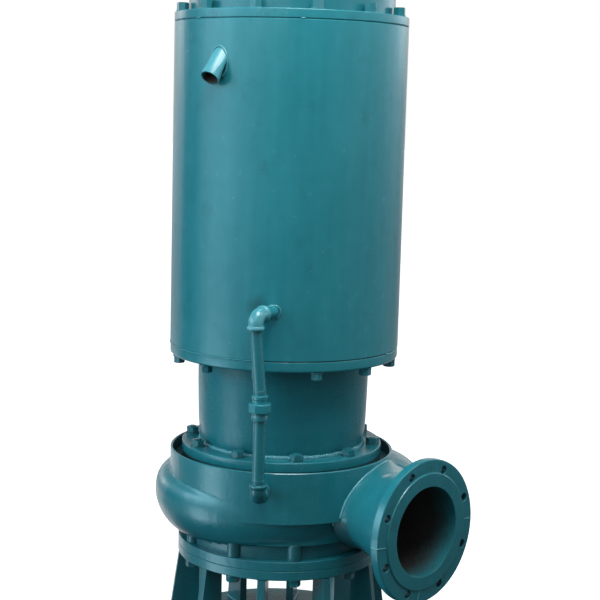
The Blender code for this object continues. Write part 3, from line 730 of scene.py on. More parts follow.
class PUMP_OT_jacket(bpy.types.Operator):
    """Water jacket: shell, both flanges and their bolts"""

    bl_idname = "pump.jacket"
    bl_label = "Water jacket"

    def execute(self, context):
        jacket = settings("jacket")
        radius = jacket.radius
        self.build_shell(jacket, radius)
        floor = high("jacket_bottom_flange").z
        foot = floor - FOOT_PLATE
        ring_piece("jacket_foot_flange", [
            (radius - 0.0006, floor, jacket.seam), (radius - 0.0006, foot, jacket.foot_edge),
            (0.110, foot, 0.0), (0.110, floor, 0.0)], "sheet enamel", ["jacket_bottom_flange"])
        seat = low("jacket_top_flange").z
        crown = crown_level()
        ring_piece("jacket_crown_flange", [
            (radius, crown, 0.0022), (radius, seat, jacket.seam), (HOUSING_RADIUS, seat, 0.0),
            (HOUSING_RADIUS, crown, 0.0008)], "sheet enamel", ["jacket_top_flange"])
        bolt_row("jacket_crown_bolts", jacket.bolts, jacket.bolt_circle, jacket.top_bolt_angle,
                 crown, 1, seed=3, taller=0.0055)
        bolt_row("jacket_foot_bolts", jacket.bolts, jacket.bolt_circle, jacket.foot_bolt_angle,
                 foot, -1, seed=5, taller=0.0035)
        self.build_seams(radius, floor, seat)
        return {"FINISHED"}

    def build_shell(self, jacket, radius):
        """Rolled shell, a little uneven between its ends, with the hole for the outlet."""
        inner = radius - jacket.wall
        bottom = low("jacket_shell").z
        top = high("jacket_shell").z
        bm = bmesh.new()
        belts = 30
        outline = [(radius - jacket.seam, bottom), (radius, bottom + jacket.seam)]
        outline += [(radius, bottom + (top - bottom) * belt / belts) for belt in range(1, belts)]
        outline += [(radius, top - jacket.seam), (radius - jacket.seam, top), (inner, top),
                    (inner, bottom)]
        for vert in spin_profile(bm, outline, 256):
            hollow = noise.noise(Vector((vert.co.x * 5, vert.co.y * 5, vert.co.z * 2.2)))
            ends = min(vert.co.z - bottom, top - vert.co.z) / 0.10
            reach = hypot(vert.co.x, vert.co.y)
            swell = 1 + hollow * 0.00030 / reach * min(max(ends, 0.0), 1.0)
            vert.co.x *= swell
            vert.co.y *= swell
        shell = finish_piece("water_jacket", bm, "shell enamel", ["jacket_shell"])
        root, outward = outlet_place()
        cut_piece(shell, rod(root - outward * 0.05, root + outward * 0.03, jacket.outlet_bore))

    def build_seams(self, radius, foot_seam, crown_seam):
        """Dark rubber sealing in both seams, which also stands in as painted shade deep in them, and the
        paint that fills or bridges them in places.
        """
        bm = bmesh.new()
        for level in (foot_seam, crown_seam):
            add_tube(bm, circle_points(radius - 0.0030, level, 360), [0.0018] * 360, True, 1)
        finish_piece("jacket_sealing_and_shade", bm, "gland rubber", sharp=60)
        stretches = (
            (foot_seam, -172.0, -57.0), (foot_seam, 14.5, 18.5), (foot_seam, 92.0, 118.0),
            (crown_seam, -95.5, -92.0), (crown_seam, -113.0, -108.5), (crown_seam, -41.0, -38.5),
            (crown_seam, 55.0, 70.0))
        bead_piece("seam_paint", [
            (circle_points(radius - 0.0012, level, int((end - start) * 2.2), radians(start),
                           radians(end - start)), 0.0019, 60 + number, False, 0.3)
            for number, (level, start, end) in enumerate(stretches)], "sheet enamel", 60)


def outlet_place():
    """Root of the outlet on the shell, and the direction that it points."""
    jacket = settings("jacket")
    root = polar(jacket.radius, jacket.outlet_angle, jacket.outlet_height)
    outward = polar(cos(jacket.outlet_slope), jacket.outlet_angle, -sin(jacket.outlet_slope))
    return root, outward


def where_tube_meets_round(start, direction, tube_radius, round_radius, count):
    """Points where a tube's surface meets an upright cylinder about the shaft."""
    first = UP - direction * UP.dot(direction)
    first.normalize()
    second = direction.cross(first)
    flat_square = direction.x ** 2 + direction.y ** 2
    points = []
    for index in range(count):
        turn = FULL_TURN * index / count
        spot = start + (first * cos(turn) + second * sin(turn)) * tube_radius
        mixed = spot.x * direction.x + spot.y * direction.y
        rest = spot.x ** 2 + spot.y ** 2 - round_radius ** 2
        travel = (-mixed + sqrt(mixed ** 2 - flat_square * rest)) / flat_square
        points.append(spot + direction * travel)
    return points


class PUMP_OT_outlet(bpy.types.Operator):
    """Cooling water outlet: a stub of pipe welded to the shell, with spatter round it"""

    bl_idname = "pump.outlet"
    bl_label = "Jacket outlet"

    def execute(self, context):
        jacket = settings("jacket")
        root, outward = outlet_place()
        outer = jacket.outlet_radius
        bore = jacket.outlet_bore
        length = jacket.outlet_length
        inside = jacket.radius - 0.004
        bm = bmesh.new()
        outline = rounded([(outer, -0.022, 0.0), (outer, length, 0.0006), (bore, length, 0.0009),
                           (bore, -0.022, 0.0)], 2)
        for vert in spin_profile(bm, outline, 64, aligned(outward, root)):
            reach = hypot(vert.co.x, vert.co.y)
            if reach < inside:
                vert.co.xy = vert.co.xy / reach * inside
        # The stub's enamel carries a painted highlight.
        stub = finish_piece("outlet_stub", bm, "elbow enamel, bare iron", ["jacket_outlet"])
        for polygon in stub.data.polygons:
            away = polygon.center - AXIS - root
            if (away - outward * away.dot(outward)).length < bore + 0.0003:
                polygon.material_index = 1
        points = where_tube_meets_round(root, outward, outer + 0.0008, jacket.radius, 90)
        bead_piece("outlet_weld", [(points, 0.0027, 11)])

        draw = random.Random(8)
        bm = bmesh.new()
        for _ in range(46):
            away = draw.gauss(0.0, 0.16)
            height = jacket.outlet_height + draw.gauss(0.002, 0.032)
            spot = polar(jacket.radius - 0.0001, jacket.outlet_angle + away, height)
            size = draw.uniform(0.0004, 0.0013)
            flat = aligned((spot.x, spot.y, 0), spot) @ Matrix.Diagonal((size, size, size * 0.6, 1))
            bmesh.ops.create_icosphere(bm, subdivisions=2, radius=1.0, matrix=flat)
        finish_piece("outlet_spatter", bm, "sheet enamel", sharp=60)
        return {"FINISHED"}


class PUMP_OT_motor_top(bpy.types.Operator):
    """Motor drum above the jacket, its lid, lifting lugs and cable gland"""

    bl_idname = "pump.motor_top"
    bl_label = "Motor top"

    def execute(self, context):
        top = high("motor_housing")
        foot = low("motor_housing").z
        ring_piece("motor_drum", [(0.0, top.z, 0.0), (top.x, top.z, 0.0012), (top.x, foot, 0.0),
                                  (0.0, foot, 0.0)], "drum enamel", ["motor_housing"])
        bead_piece("drum_weld", [(circle_points(top.x + 0.0006, crown_level(), 420), 0.0022, 17)])

        foot = low("motor_lid").z
        radius = high("motor_lid").x
        plate = foot + LID_PLATE
        boss = low("cable_gland").z - 0.0003
        ring_piece("motor_cap", [
            (0.0, boss, 0.0), (0.166, boss, 0.004), (0.177, plate, 0.005), (radius, plate, 0.0025),
            (radius, foot, 0.0012), (0.0, foot, 0.0)], "cast enamel", ["motor_lid"])
        bolt_row("cap_bolts", 8, 0.208, radians(22.5), plate, 1, seed=9)
        for side in ("left", "right"):
            self.build_lug(side, "lifting_lug_" + side)
        self.build_gland()
        return {"FINISHED"}

    def build_lug(self, side, node):
        """Plate with a round head and a flared foot, its eye and the welds along its foot."""
        base = low(node)
        head = high(node)
        flare = 0.008
        half = (head.x - base.x) / 2 - flare
        rise = 0.045
        bm = bmesh.new()
        bmesh.ops.create_circle(bm, cap_ends=True, segments=64, radius=half)
        for vert in bm.verts:
            if vert.co.y < 0:
                share = -vert.co.y / half
                vert.co.x = copysign(half + flare * share ** 2, vert.co.x)
                vert.co.y = -rise * share ** 0.6
        thick = head.y - base.y
        made = bmesh.ops.extrude_face_region(bm, geom=list(bm.faces))["geom"]
        bmesh.ops.translate(bm, verts=verts_of(made), vec=(0, 0, thick))
        rim = [edge for edge in bm.edges if edge.calc_face_angle(0) > 1.0
               and abs(edge.verts[0].co.z - edge.verts[1].co.z) < 0.0001]
        bevel(bm, rim, 0.0018, 3)
        centre = Vector(((base.x + head.x) / 2, (base.y + head.y) / 2, base.z + rise))
        place = Matrix.Translation((centre.x, head.y, centre.z)) @ Matrix.Rotation(radians(90), 4, "X")
        bmesh.ops.transform(bm, matrix=place, verts=bm.verts)
        lug = finish_piece(f"lifting_eye_{side}", bm, "fitting enamel", [node])
        deep = thick / 2
        outline = [(0.0, -0.03), (0.0225, -deep - 0.0005), (0.0190, -deep + 0.003),
                   (0.0190, deep - 0.003), (0.0225, deep + 0.0005), (0.0, 0.03)]
        cut_piece(lug, spun(outline, 48, aligned((0, 1, 0), centre)))
        width = half + flare
        spacing = 0.0022
        beads = []
        for facing in (-1, 1):
            points = [Vector((centre.x - width + index * spacing, centre.y + facing * deep, base.z))
                      for index in range(int(2 * width / spacing))]
            beads.append((points, 0.0034, 21 + facing, False))
        bead_piece(f"lifting_eye_weld_{side}", beads)

    def build_gland(self):
        base = low("cable_gland")
        head = high("cable_gland")
        foot = base.z
        centre = Vector(((base.x + head.x) / 2, (base.y + head.y) / 2, 0.0))
        place = Matrix.Translation(centre)
        corners = [
            (0.0, foot + 0.008, 0.0), (0.019, foot + 0.008, 0.0), (0.019, head.z, 0.001),
            (0.032, head.z, 0.001), (0.032, foot + 0.012, 0.003), (0.052, foot + 0.012, 0.002),
            (0.052, foot, 0.0), (0.0, foot, 0.0)]
        ring_piece("gland_body", corners, "fitting enamel", ["cable_gland"], segments=96,
                   matrix=place)
        level = low("cable_gland_nut").z
        height = high("cable_gland_nut").z - level
        bm = bmesh.new()
        spot = Matrix.Translation(centre + UP * level) @ Matrix.Rotation(0.52, 4, "Z")
        add_hexagon(bm, spot, 0.0745, height, both_ends=True)
        nut = finish_piece("gland_nut", bm, "fitting enamel", ["cable_gland_nut"],
                           sharp=25)
        cut_piece(nut, rod(centre + UP * (level - 0.01), centre + UP * (level + 0.05), 0.0192))
        bm = bmesh.new()
        lip = level + height
        seal = [(0.0190, lip - 0.002, 0.0), (0.0190, level - 0.020, 0.0),
                (0.0140, level - 0.020, 0.0), (0.0140, lip - 0.004, 0.001)]
        spin_profile(bm, rounded(seal), 48, place)
        finish_piece("gland_seal", bm, "gland rubber")
        bm = bmesh.new()
        for spot in circle_points(0.0425, foot + 0.012, 4, radians(45)):
            add_hexagon(bm, Matrix.Translation(centre + spot), 0.013, 0.0055)
        finish_piece("gland_bolts", bm, "bolt enamel", sharp=25)


class PUMP_OT_neck(bpy.types.Operator):
    """Oil chamber between jacket and casing, with its welded flange and nuts"""

    bl_idname = "pump.neck"
    bl_label = "Neck"

    def execute(self, context):
        bolting = settings("bolting")
        top = high("neck_barrel").z
        foot = low("neck_barrel").z
        radius = high("neck_barrel").x
        inner = radius - 0.012
        ring_piece("oil_chamber", [
            (radius, top, 0.0), (radius, 0.632, 0.010), (0.1962, 0.540, 0.010), (0.1925, 0.502, 0.004),
            (0.1895, foot, 0.0), (inner - 0.012, foot, 0.0), (inner - 0.002, 0.535, 0.0),
            (inner, top, 0.0)], "neck enamel", ["neck_barrel"])
        foot = low("neck_flange").z
        top = foot + NECK_PLATE
        radius = 0.2339
        ring_piece("neck_plate", [
            (radius, top, 0.0024), (radius, foot, 0.0015), (0.1585, foot, 0.0), (0.1585, top, 0.0)],
            "sheet enamel", ["neck_flange"])
        # The weld takes the pale ridge enamel, a painted highlight.
        bead_piece("neck_weld", [
            (circle_points(0.1915, top + 0.0022, 520), 0.0034, 23, True, 0.34),
            (circle_points(0.1933, top + 0.0010, 470), 0.0022, 29, True, 0.40)], "ridge enamel")
        bolt_row("neck_nuts", bolting.casing_bolts, bolting.neck_circle, 0.0, top, 1, nut=True,
                 seed=13)
        cover = low("casing_cover").z
        reach = high("casing_cover").x
        groove = 0.445
        foot -= 0.0003
        radius -= 0.0010
        # Painted shade: the groove round the cover takes a dark enamel.
        ring_piece("casing_floor", [
            (radius, foot, 0.001), (radius, groove, 0.002), (reach, groove, 0.0),
            (reach, cover, 0.0), (0.0303, cover, 0.0), (0.0303, foot, 0.0)],
            "groove enamel", ["casing_cover"])
        return {"FINISHED"}


def soft_max(first, second, blend):
    """The greater of two arrays, rounded where they are within the blend of each other."""
    near = np.maximum(blend - np.abs(first - second), 0.0) / blend
    return np.maximum(first, second) + near * near * blend / 4


def spiral_reach(travel, heights):
    """Radius of the spiral at some heights, at an angle travelled in degrees from the front."""
    casing = settings("casing")
    centre = settings("discharge").height
    past_turn = max(travel - casing.spiral_turn, 0.0)
    width = casing.spiral_width + casing.spiral_growth * travel - casing.spiral_return * past_turn ** 2
    grown = min(max(travel - 60.0, 0.0), casing.spiral_turn - 60.0)
    rise = 0.062 + 0.000155 * grown - 0.00012 * past_turn
    drop = min(0.057 + 0.000378 * max(travel, 0.0), centre - 0.2690)
    above = np.clip((heights - centre) / rise, 0.0, 1.0)
    below = np.clip((centre - heights) / drop, 0.0, 1.0)
    upper = np.power(1 - above ** 3.0, 1 / 3.0)
    lower = np.power(1 - below ** 1.7, 1 / 1.7)
    share = np.where(heights >= centre, upper, lower)
    inside = (heights < centre + rise) & (heights > centre - drop)
    return np.where(inside, casing.spiral_root + width * share, 0.0)


def spiral_travel(angle):
    """Degrees travelled round the spiral at an angle, or None between its end and its start."""
    travel = (-45.0 - degrees(angle)) % 360.0
    if travel > 330.0:
        travel -= 360.0
    return travel if travel <= 285.0 else None


def casing_reach(angle, heights, base):
    """Outer radius of the casing at some heights: a round wall with the spiral grown from it."""
    casing = settings("casing")
    travel = spiral_travel(angle)
    wall = np.full_like(heights, base)
    if travel is None:
        return wall
    spiral = spiral_reach(travel, heights)
    blend = casing.cast_fillet * min(1.0, 0.35 + max(travel, 0.0) / 90.0)
    return np.where(spiral > 0.0, soft_max(wall, spiral, blend), wall)


def wall_at(point, height):
    """Outer radius of the casing at a height, on a point's side of the shaft."""
    casing = settings("casing")
    base = casing.collar_radius if height >= casing.skirt_top else casing.skirt_radius
    if height >= casing.ring_bottom:
        base = casing.ring_radius
    return casing_reach(atan2(point.y, point.x), np.array([height]), base)[0]


def resample(radii, heights, count):
    """Points spread evenly along an outline, ends kept."""
    steps = np.hypot(np.diff(radii), np.diff(heights))
    along = np.concatenate(([0.0], np.cumsum(steps)))
    marks = np.linspace(0.0, along[-1], count)
    return np.interp(marks, along, radii), np.interp(marks, along, heights)


class PUMP_OT_casing(bpy.types.Operator):
    """Volute casing: ring wall, collar, spiral and bolting bosses"""

    bl_idname = "pump.casing"
    bl_label = "Volute casing"

    def execute(self, context):
        casing = settings("casing")
        top = high("volute_casing").z
        rim = 0.0016
        bands = [
            (top - rim, casing.ring_bottom, casing.ring_radius, 44),
            (casing.ring_bottom, casing.skirt_top, casing.collar_radius, 26),
            (casing.skirt_top, CASING_BOTTOM, casing.skirt_radius, 14)]
        lip = casing.ring_radius - casing.ring_lip
        outer_count = sum(band[3] for band in bands)
        bm = bmesh.new()
        place = bm.verts.layers.int.new("place")
        outline = [(casing.ring_radius, top - 0.001 * index) for index in range(outer_count)]
        outline += [(casing.chamber, CASING_BOTTOM), (casing.chamber, casing.seat), (lip, casing.seat),
                    (lip, top - rim), (lip + rim, top), (casing.ring_radius - rim, top)]
        ordered = [bm.verts.new((radius, 0.0, height)) for radius, height in outline]
        edges = [bm.edges.new(pair) for pair in zip(ordered, ordered[1:] + ordered[:1])]
        for index, vert in enumerate(ordered):
            vert[place] = index
        bmesh.ops.spin(bm, geom=ordered + edges, cent=(0, 0, 0), axis=(0, 0, 1), dvec=(0, 0, 0),
                       angle=FULL_TURN, steps=360, use_merge=True, use_duplicate=False)
        columns = {}
        for vert in bm.verts:
            columns.setdefault(round(degrees(atan2(vert.co.y, vert.co.x)) * 4), []).append(vert)
        for verts in columns.values():
            angle = atan2(verts[0].co.y, verts[0].co.x)
            spots = []
            for band_top, band_bottom, base, count in bands:
                fine = np.linspace(band_top, band_bottom, 260)
                spots += zip(*resample(casing_reach(angle, fine, base), fine, count))
            for vert in verts:
                if vert[place] < outer_count:
                    radius, level = spots[vert[place]]
                    vert.co = polar(radius, angle, level)
        bm.verts.layers.int.remove(bm.verts.layers.int["place"])
        bmesh.ops.remove_doubles(bm, verts=bm.verts, dist=0.00001)
        # Painted shade: the inside of the ring wall and the skirt under the spiral take dark enamels.
        for face in bm.faces:
            centre = face.calc_center_median()
            reach = centre.xy.length
            if casing.seat - 0.001 < centre.z < top - 0.006 and reach < lip + 0.0002:
                face.material_index = 1
            elif centre.z < casing.skirt_top and reach < casing.collar_radius + 0.0005:
                face.material_index = 2
        body = finish_piece("volute_body", bm, "cast enamel, groove enamel, grimy enamel",
                            ["volute_casing"], sharp=38)
        discharge = settings("discharge")
        bore = discharge.bore + 0.0012
        throat = discharge.throat + 0.0012
        lie = Matrix.Translation((0, discharge.offset, discharge.height)) @ aligned((1, 0, 0))
        cut_piece(body, spun([(0.0, 0.36), (bore, 0.36), (throat, 0.22), (throat, 0.12), (0.0, 0.12)],
                             64, lie))

        top = casing.skirt_top + 0.004
        circle = casing.collar_radius + 0.0035 - casing.boss_radius
        count = settings("bolting").casing_bolts
        outline = rounded([(0.0, top, 0.0), (casing.boss_radius, top, 0.005),
                           (casing.boss_radius + 0.0015, CASING_BOTTOM, 0.0006),
                           (0.0, CASING_BOTTOM, 0.0)], 4)
        angles = [FULL_TURN * number / count for number in range(count)]
        bosses = spun(outline, 32, *(Matrix.Translation(polar(circle, angle)) for angle in angles
                                     if spiral_travel(angle) is not None))
        # Painted shade: the bosses under the spiral take a dark enamel.
        finish_piece("casing_bosses", bosses, "grimy enamel")
        return {"FINISHED"}


def nozzle_point(along, turn):
    """Point on the nozzle's skin; along runs from 0 at the root section to 1 at the flange."""
    discharge = settings("discharge")
    held = max(along, 0.0)
    ease = held * held * (3 - 2 * held)
    end_back = discharge.offset + discharge.nozzle_radius
    centre = discharge.root_y + (discharge.offset - discharge.root_y) * ease
    front = discharge.root_front + (discharge.nozzle_radius - discharge.root_front) * ease
    back = end_back + (discharge.root_back - end_back) * (1 - held) ** 3 - centre
    root_height = discharge.root_height if sin(turn) > 0 else discharge.root_drop
    half_height = root_height + (discharge.nozzle_radius - root_height) * ease
    half_width = back if cos(turn) > 0 else front
    x = discharge.root_x + (low("discharge_flange").x - discharge.root_x) * along
    return Vector((x, centre + half_width * cos(turn), discharge.height + half_height * sin(turn)))


def inside_casing(point):
    reach = hypot(point.x, point.y)
    if point.z < 0.2660 or point.z > high("volute_casing").z:
        return reach < INNER_CASING
    return reach < max(wall_at(point, point.z), INNER_CASING)


def nozzle_root(turn):
    """How far along the nozzle its skin comes out of the casing, at a turn round it."""
    inner, outer = -0.9, 0.9
    for _ in range(26):
        half = (inner + outer) / 2
        if inside_casing(nozzle_point(half, turn)):
            inner = half
        else:
            outer = half
    return outer


def extruded(bm, edges):
    """Extrude edges, and return the new verts and the new edges between them."""
    made = bmesh.ops.extrude_edge_only(bm, edges=edges)["geom"]
    verts = verts_of(made)
    return verts, [item for item in made if isinstance(item, bmesh.types.BMEdge)
                   and all(vert in verts for vert in item.verts)]


class PUMP_OT_discharge(bpy.types.Operator):
    """Discharge nozzle with its bore and its pipe flange"""

    bl_idname = "pump.discharge"
    bl_label = "Discharge"

    def execute(self, context):
        sides = 144
        turns = [FULL_TURN * side / sides for side in range(sides)]
        skin = self.skin_loops(turns)
        edge_loop = [self.on_casing(point) for point in skin[0]]
        buried = [Vector((point.x * 0.95, point.y * 0.95, point.z)) for point in edge_loop]
        self.build_nozzle([buried, edge_loop] + skin[1:], self.bore_loops(turns), sides)
        front = [point for point, turn in zip(edge_loop, turns) if radians(75) < turn < radians(190)]
        dense = []
        for here, there in zip(front, front[1:]):
            dense += [here, here.lerp(there, 0.5)]
        # The ridge takes the pale ridge enamel, a painted highlight.
        bead_piece("nozzle_ridge", [(dense, 0.0028, 31, False, 0.12)], "ridge enamel", 60)
        self.build_flange(settings("discharge"))
        return {"FINISHED"}

    def skin_loops(self, turns):
        """Loops of the outside from the casing to the flange, flared where they leave the casing."""
        sides = len(turns)
        stations = 26
        flare_length = 0.085
        roots = [nozzle_root(turn) for turn in turns]
        roots = [sum(roots[(side + step) % sides] for step in (-1, 0, 1)) / 3 for side in range(sides)]
        loops = []
        for station in range(stations + 1):
            part = (station / stations) ** 1.4
            loop = []
            for turn, root in zip(turns, roots):
                along = root + (1 - root) * part
                outward = Vector((0, cos(turn), sin(turn))).normalized()
                backing = 0.5 + 0.5 * cos(turn)
                flare = (0.0035 + 0.014 * backing ** 2) * exp(-(along - root) / flare_length)
                loop.append(nozzle_point(along, turn) + outward * flare)
            loops.append(loop)
        return loops

    def on_casing(self, point):
        held = min(max(point.z, 0.2665), high("volute_casing").z)
        reach = min(hypot(point.x, point.y), wall_at(point, held) + 0.001)
        return polar(max(reach, INNER_CASING), atan2(point.y, point.x), point.z)

    def bore_loops(self, turns):
        discharge = settings("discharge")
        stations = ((low("discharge_flange").x, discharge.bore), (0.37, discharge.bore),
                    (0.30, 0.0880), (0.255, 0.0740), (0.22, 0.0720), (0.198, 0.0720))
        return [[Vector((x, discharge.offset + radius * cos(turn),
                         discharge.height + radius * sin(turn))) for turn in turns]
                for x, radius in stations]

    def build_nozzle(self, skin, bore, sides):
        bm = bmesh.new()
        verts = bmesh.ops.create_circle(bm, cap_ends=False, segments=sides, radius=1.0)["verts"]
        current = list(bm.edges)
        every = [verts]
        for _ in range(len(skin) + len(bore) - 1):
            verts, current = extruded(bm, current)
            every.append(verts)
        for verts, loop in zip(every, skin + bore):
            ordered = sorted(verts, key=lambda vert: atan2(vert.co.y, vert.co.x) % FULL_TURN)
            for vert, point in zip(ordered, loop):
                vert.co = point
        bmesh.ops.bridge_loops(bm, edges=[edge for edge in bm.edges if edge.is_boundary])
        bore_verts = {vert for verts in every[len(skin):] for vert in verts}
        for face in bm.faces:
            if all(vert in bore_verts for vert in face.verts):
                face.material_index = 1
        finish_piece("discharge_nozzle", bm, "nozzle enamel, bore coating", sharp=40)

    def build_flange(self, discharge):
        """Flange with its raised face and bolt holes, and the seams that its mould left."""
        back = low("discharge_flange")
        face = high("discharge_flange")
        outer = (face.z - back.z) / 2
        thickness = face.x - back.x
        bore = discharge.bore
        raised = discharge.raised_face
        hole = discharge.hole
        lie = aligned((1, 0, 0), (back.x, discharge.offset, discharge.height))
        step = thickness - discharge.raised_height
        flange = ring_piece("pipe_flange", [
            (outer, step, 0.0035), (outer, 0.0, 0.0035), (bore, 0.0, 0.0), (bore, thickness, 0.0016),
            (raised, thickness, 0.0012), (raised + 0.0012, step, 0.0010)],
            "cast enamel, bore coating, groove enamel", ["discharge_flange"], matrix=lie)
        outline = [(0.0, -0.01), (hole + 0.0012, -0.01), (hole + 0.0012, 0.0), (hole, 0.0012),
                   (hole, step - 0.0012), (hole + 0.0014, step + 0.0002), (hole + 0.0014, 0.04),
                   (0.0, 0.04)]
        share = FULL_TURN / discharge.holes
        cut_piece(flange, spun(outline, 32, *(
            lie @ Matrix.Translation(polar(discharge.bolt_circle, share * (number + 0.5)))
            for number in range(discharge.holes))))
        for polygon in flange.data.polygons:
            if abs(polygon.normal.x) >= 0.3:
                continue
            centre = polygon.center - AXIS
            across = centre.y - discharge.offset
            above = centre.z - discharge.height
            reach = hypot(across, above)
            turn = atan2(above, across) % share - share / 2
            gap = hypot(reach * cos(turn) - discharge.bolt_circle, reach * sin(turn))
            if reach < bore + 0.0004:
                polygon.material_index = 1
            # Painted shade: the walls of the bolt holes take a dark enamel.
            elif gap < hole + 0.0004:
                polygon.material_index = 2

        bm = bmesh.new()
        for angle in (182, 0, 262):
            points = []
            for level, radius in ((0.004, outer + 0.0002), (step - 0.004, outer + 0.0002),
                                  (step - 0.001, outer - 0.0008), (step + 0.0003, outer - 0.004),
                                  (step + 0.0003, outer - 0.028)):
                points.append(lie @ polar(radius, radians(angle) + outer - radius, level))
            add_tube(bm, points, [0.0011, 0.0013, 0.0013, 0.0012, 0.0005])
        # The seams take the pale ridge enamel, a painted highlight.
        finish_piece("casting_seams", bm, "ridge enamel", sharp=60)


class PUMP_OT_stand(bpy.types.Operator):
    """Suction cover and ribbed stand"""

    bl_idname = "pump.stand"
    bl_label = "Stand"

    def execute(self, context):
        bolting = settings("bolting")
        outer = high("suction_cover").x
        top = high("suction_cover").z
        foot = high("stand_top_ring").z + 0.0003
        lip = low("suction_cover").z
        ring_piece("suction_plate", [
            (outer, top, 0.0020), (outer, foot, 0.0016), (0.135, foot, 0.0), (0.112, 0.222, 0.004),
            (0.112, lip, 0.004), (0.085, lip, 0.003), (0.085, top, 0.004)],
            "cast enamel", ["suction_cover"])
        top = high("stand_top_ring").z
        foot = high("stand_rib_01").z + 0.0003
        ring_piece("stand_crown", [
            (outer, top, 0.0016), (outer, foot, 0.0022), (0.178, foot, 0.002), (0.178, top, 0.0)],
            "sheet enamel", ["stand_top_ring"])
        bolt_row("stand_nuts", bolting.casing_bolts, bolting.stand_circle, 0.0, foot, -1, nut=True,
                 seed=19)
        base = high("stand_base_ring")
        ring_piece("stand_foot", [
            (base.x, base.z, 0.0022), (base.x, 0.0, 0.0015), (0.170, 0.0, 0.0015),
            (0.170, base.z, 0.0022)], "sheet enamel", ["stand_base_ring"])
        self.build_ribs(foot, base.z)
        return {"FINISHED"}

    def build_ribs(self, ring_foot, base_top):
        count = 10
        half = 0.018 / 2
        inner = 0.190
        top_reach = 0.2384
        spacing = 0.0024
        beads = []
        for number in range(count):
            node = f"stand_rib_{number + 1:02d}"
            turn = Matrix.Rotation(FULL_TURN * (number + 0.5) / count, 4, "Z")
            bottom = low(node).z
            top = high(node).z
            foot_reach = top_reach + 0.136 * (top - bottom)
            bm = bmesh.new()
            bmesh.ops.create_cube(bm, size=1.0)
            for vert in bm.verts:
                is_low = vert.co.z < 0
                reach = foot_reach if is_low else top_reach
                vert.co = (reach if vert.co.x > 0 else inner, copysign(half, vert.co.y),
                           bottom if is_low else top)
            bevel(bm, list(bm.edges), 0.0014, 2)
            bmesh.ops.rotate(bm, verts=bm.verts, cent=(0, 0, 0), matrix=turn.to_3x3())
            finish_piece(f"stand_fin_{number + 1:02d}", bm, "stand enamel", [node], even=True)
            for level, reach, drop in ((ring_foot, top_reach, -1), (base_top, foot_reach, 1)):
                for side in (-1, 1):
                    start = Vector((inner + 0.004, side * (half + 0.0006), level + drop * 0.0008))
                    steps = int((reach - inner - 0.006) / spacing)
                    points = [turn @ (start + Vector((spacing * step, 0, 0))) for step in range(steps)]
                    beads.append((points, 0.0030, number * 7 + side, False))
        bead_piece("stand_welds", beads)


class PUMP_OT_rotor(bpy.types.Operator):
    """Impeller's finish, and the shaft with its nut"""

    bl_idname = "pump.rotor"
    bl_label = "Rotor"

    def execute(self, context):
        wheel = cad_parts["impeller"]
        wheel.data.materials.clear()
        wheel.data.materials.append(finish_named("bare iron"))
        top = high("pump_shaft")
        nut_height = 0.035
        bm = rod((0, 0, low("pump_shaft").z), (0, 0, top.z), 0.0300, 64, 0.0025)
        place = Matrix.Translation((0, 0, IMPELLER_HUB - nut_height))
        add_hexagon(bm, place, 2 * top.x * cos(radians(30)), nut_height, both_ends=True)
        finish_piece("shaft_and_nut", bm, "bare iron", ["pump_shaft"], sharp=25)
        return {"FINISHED"}


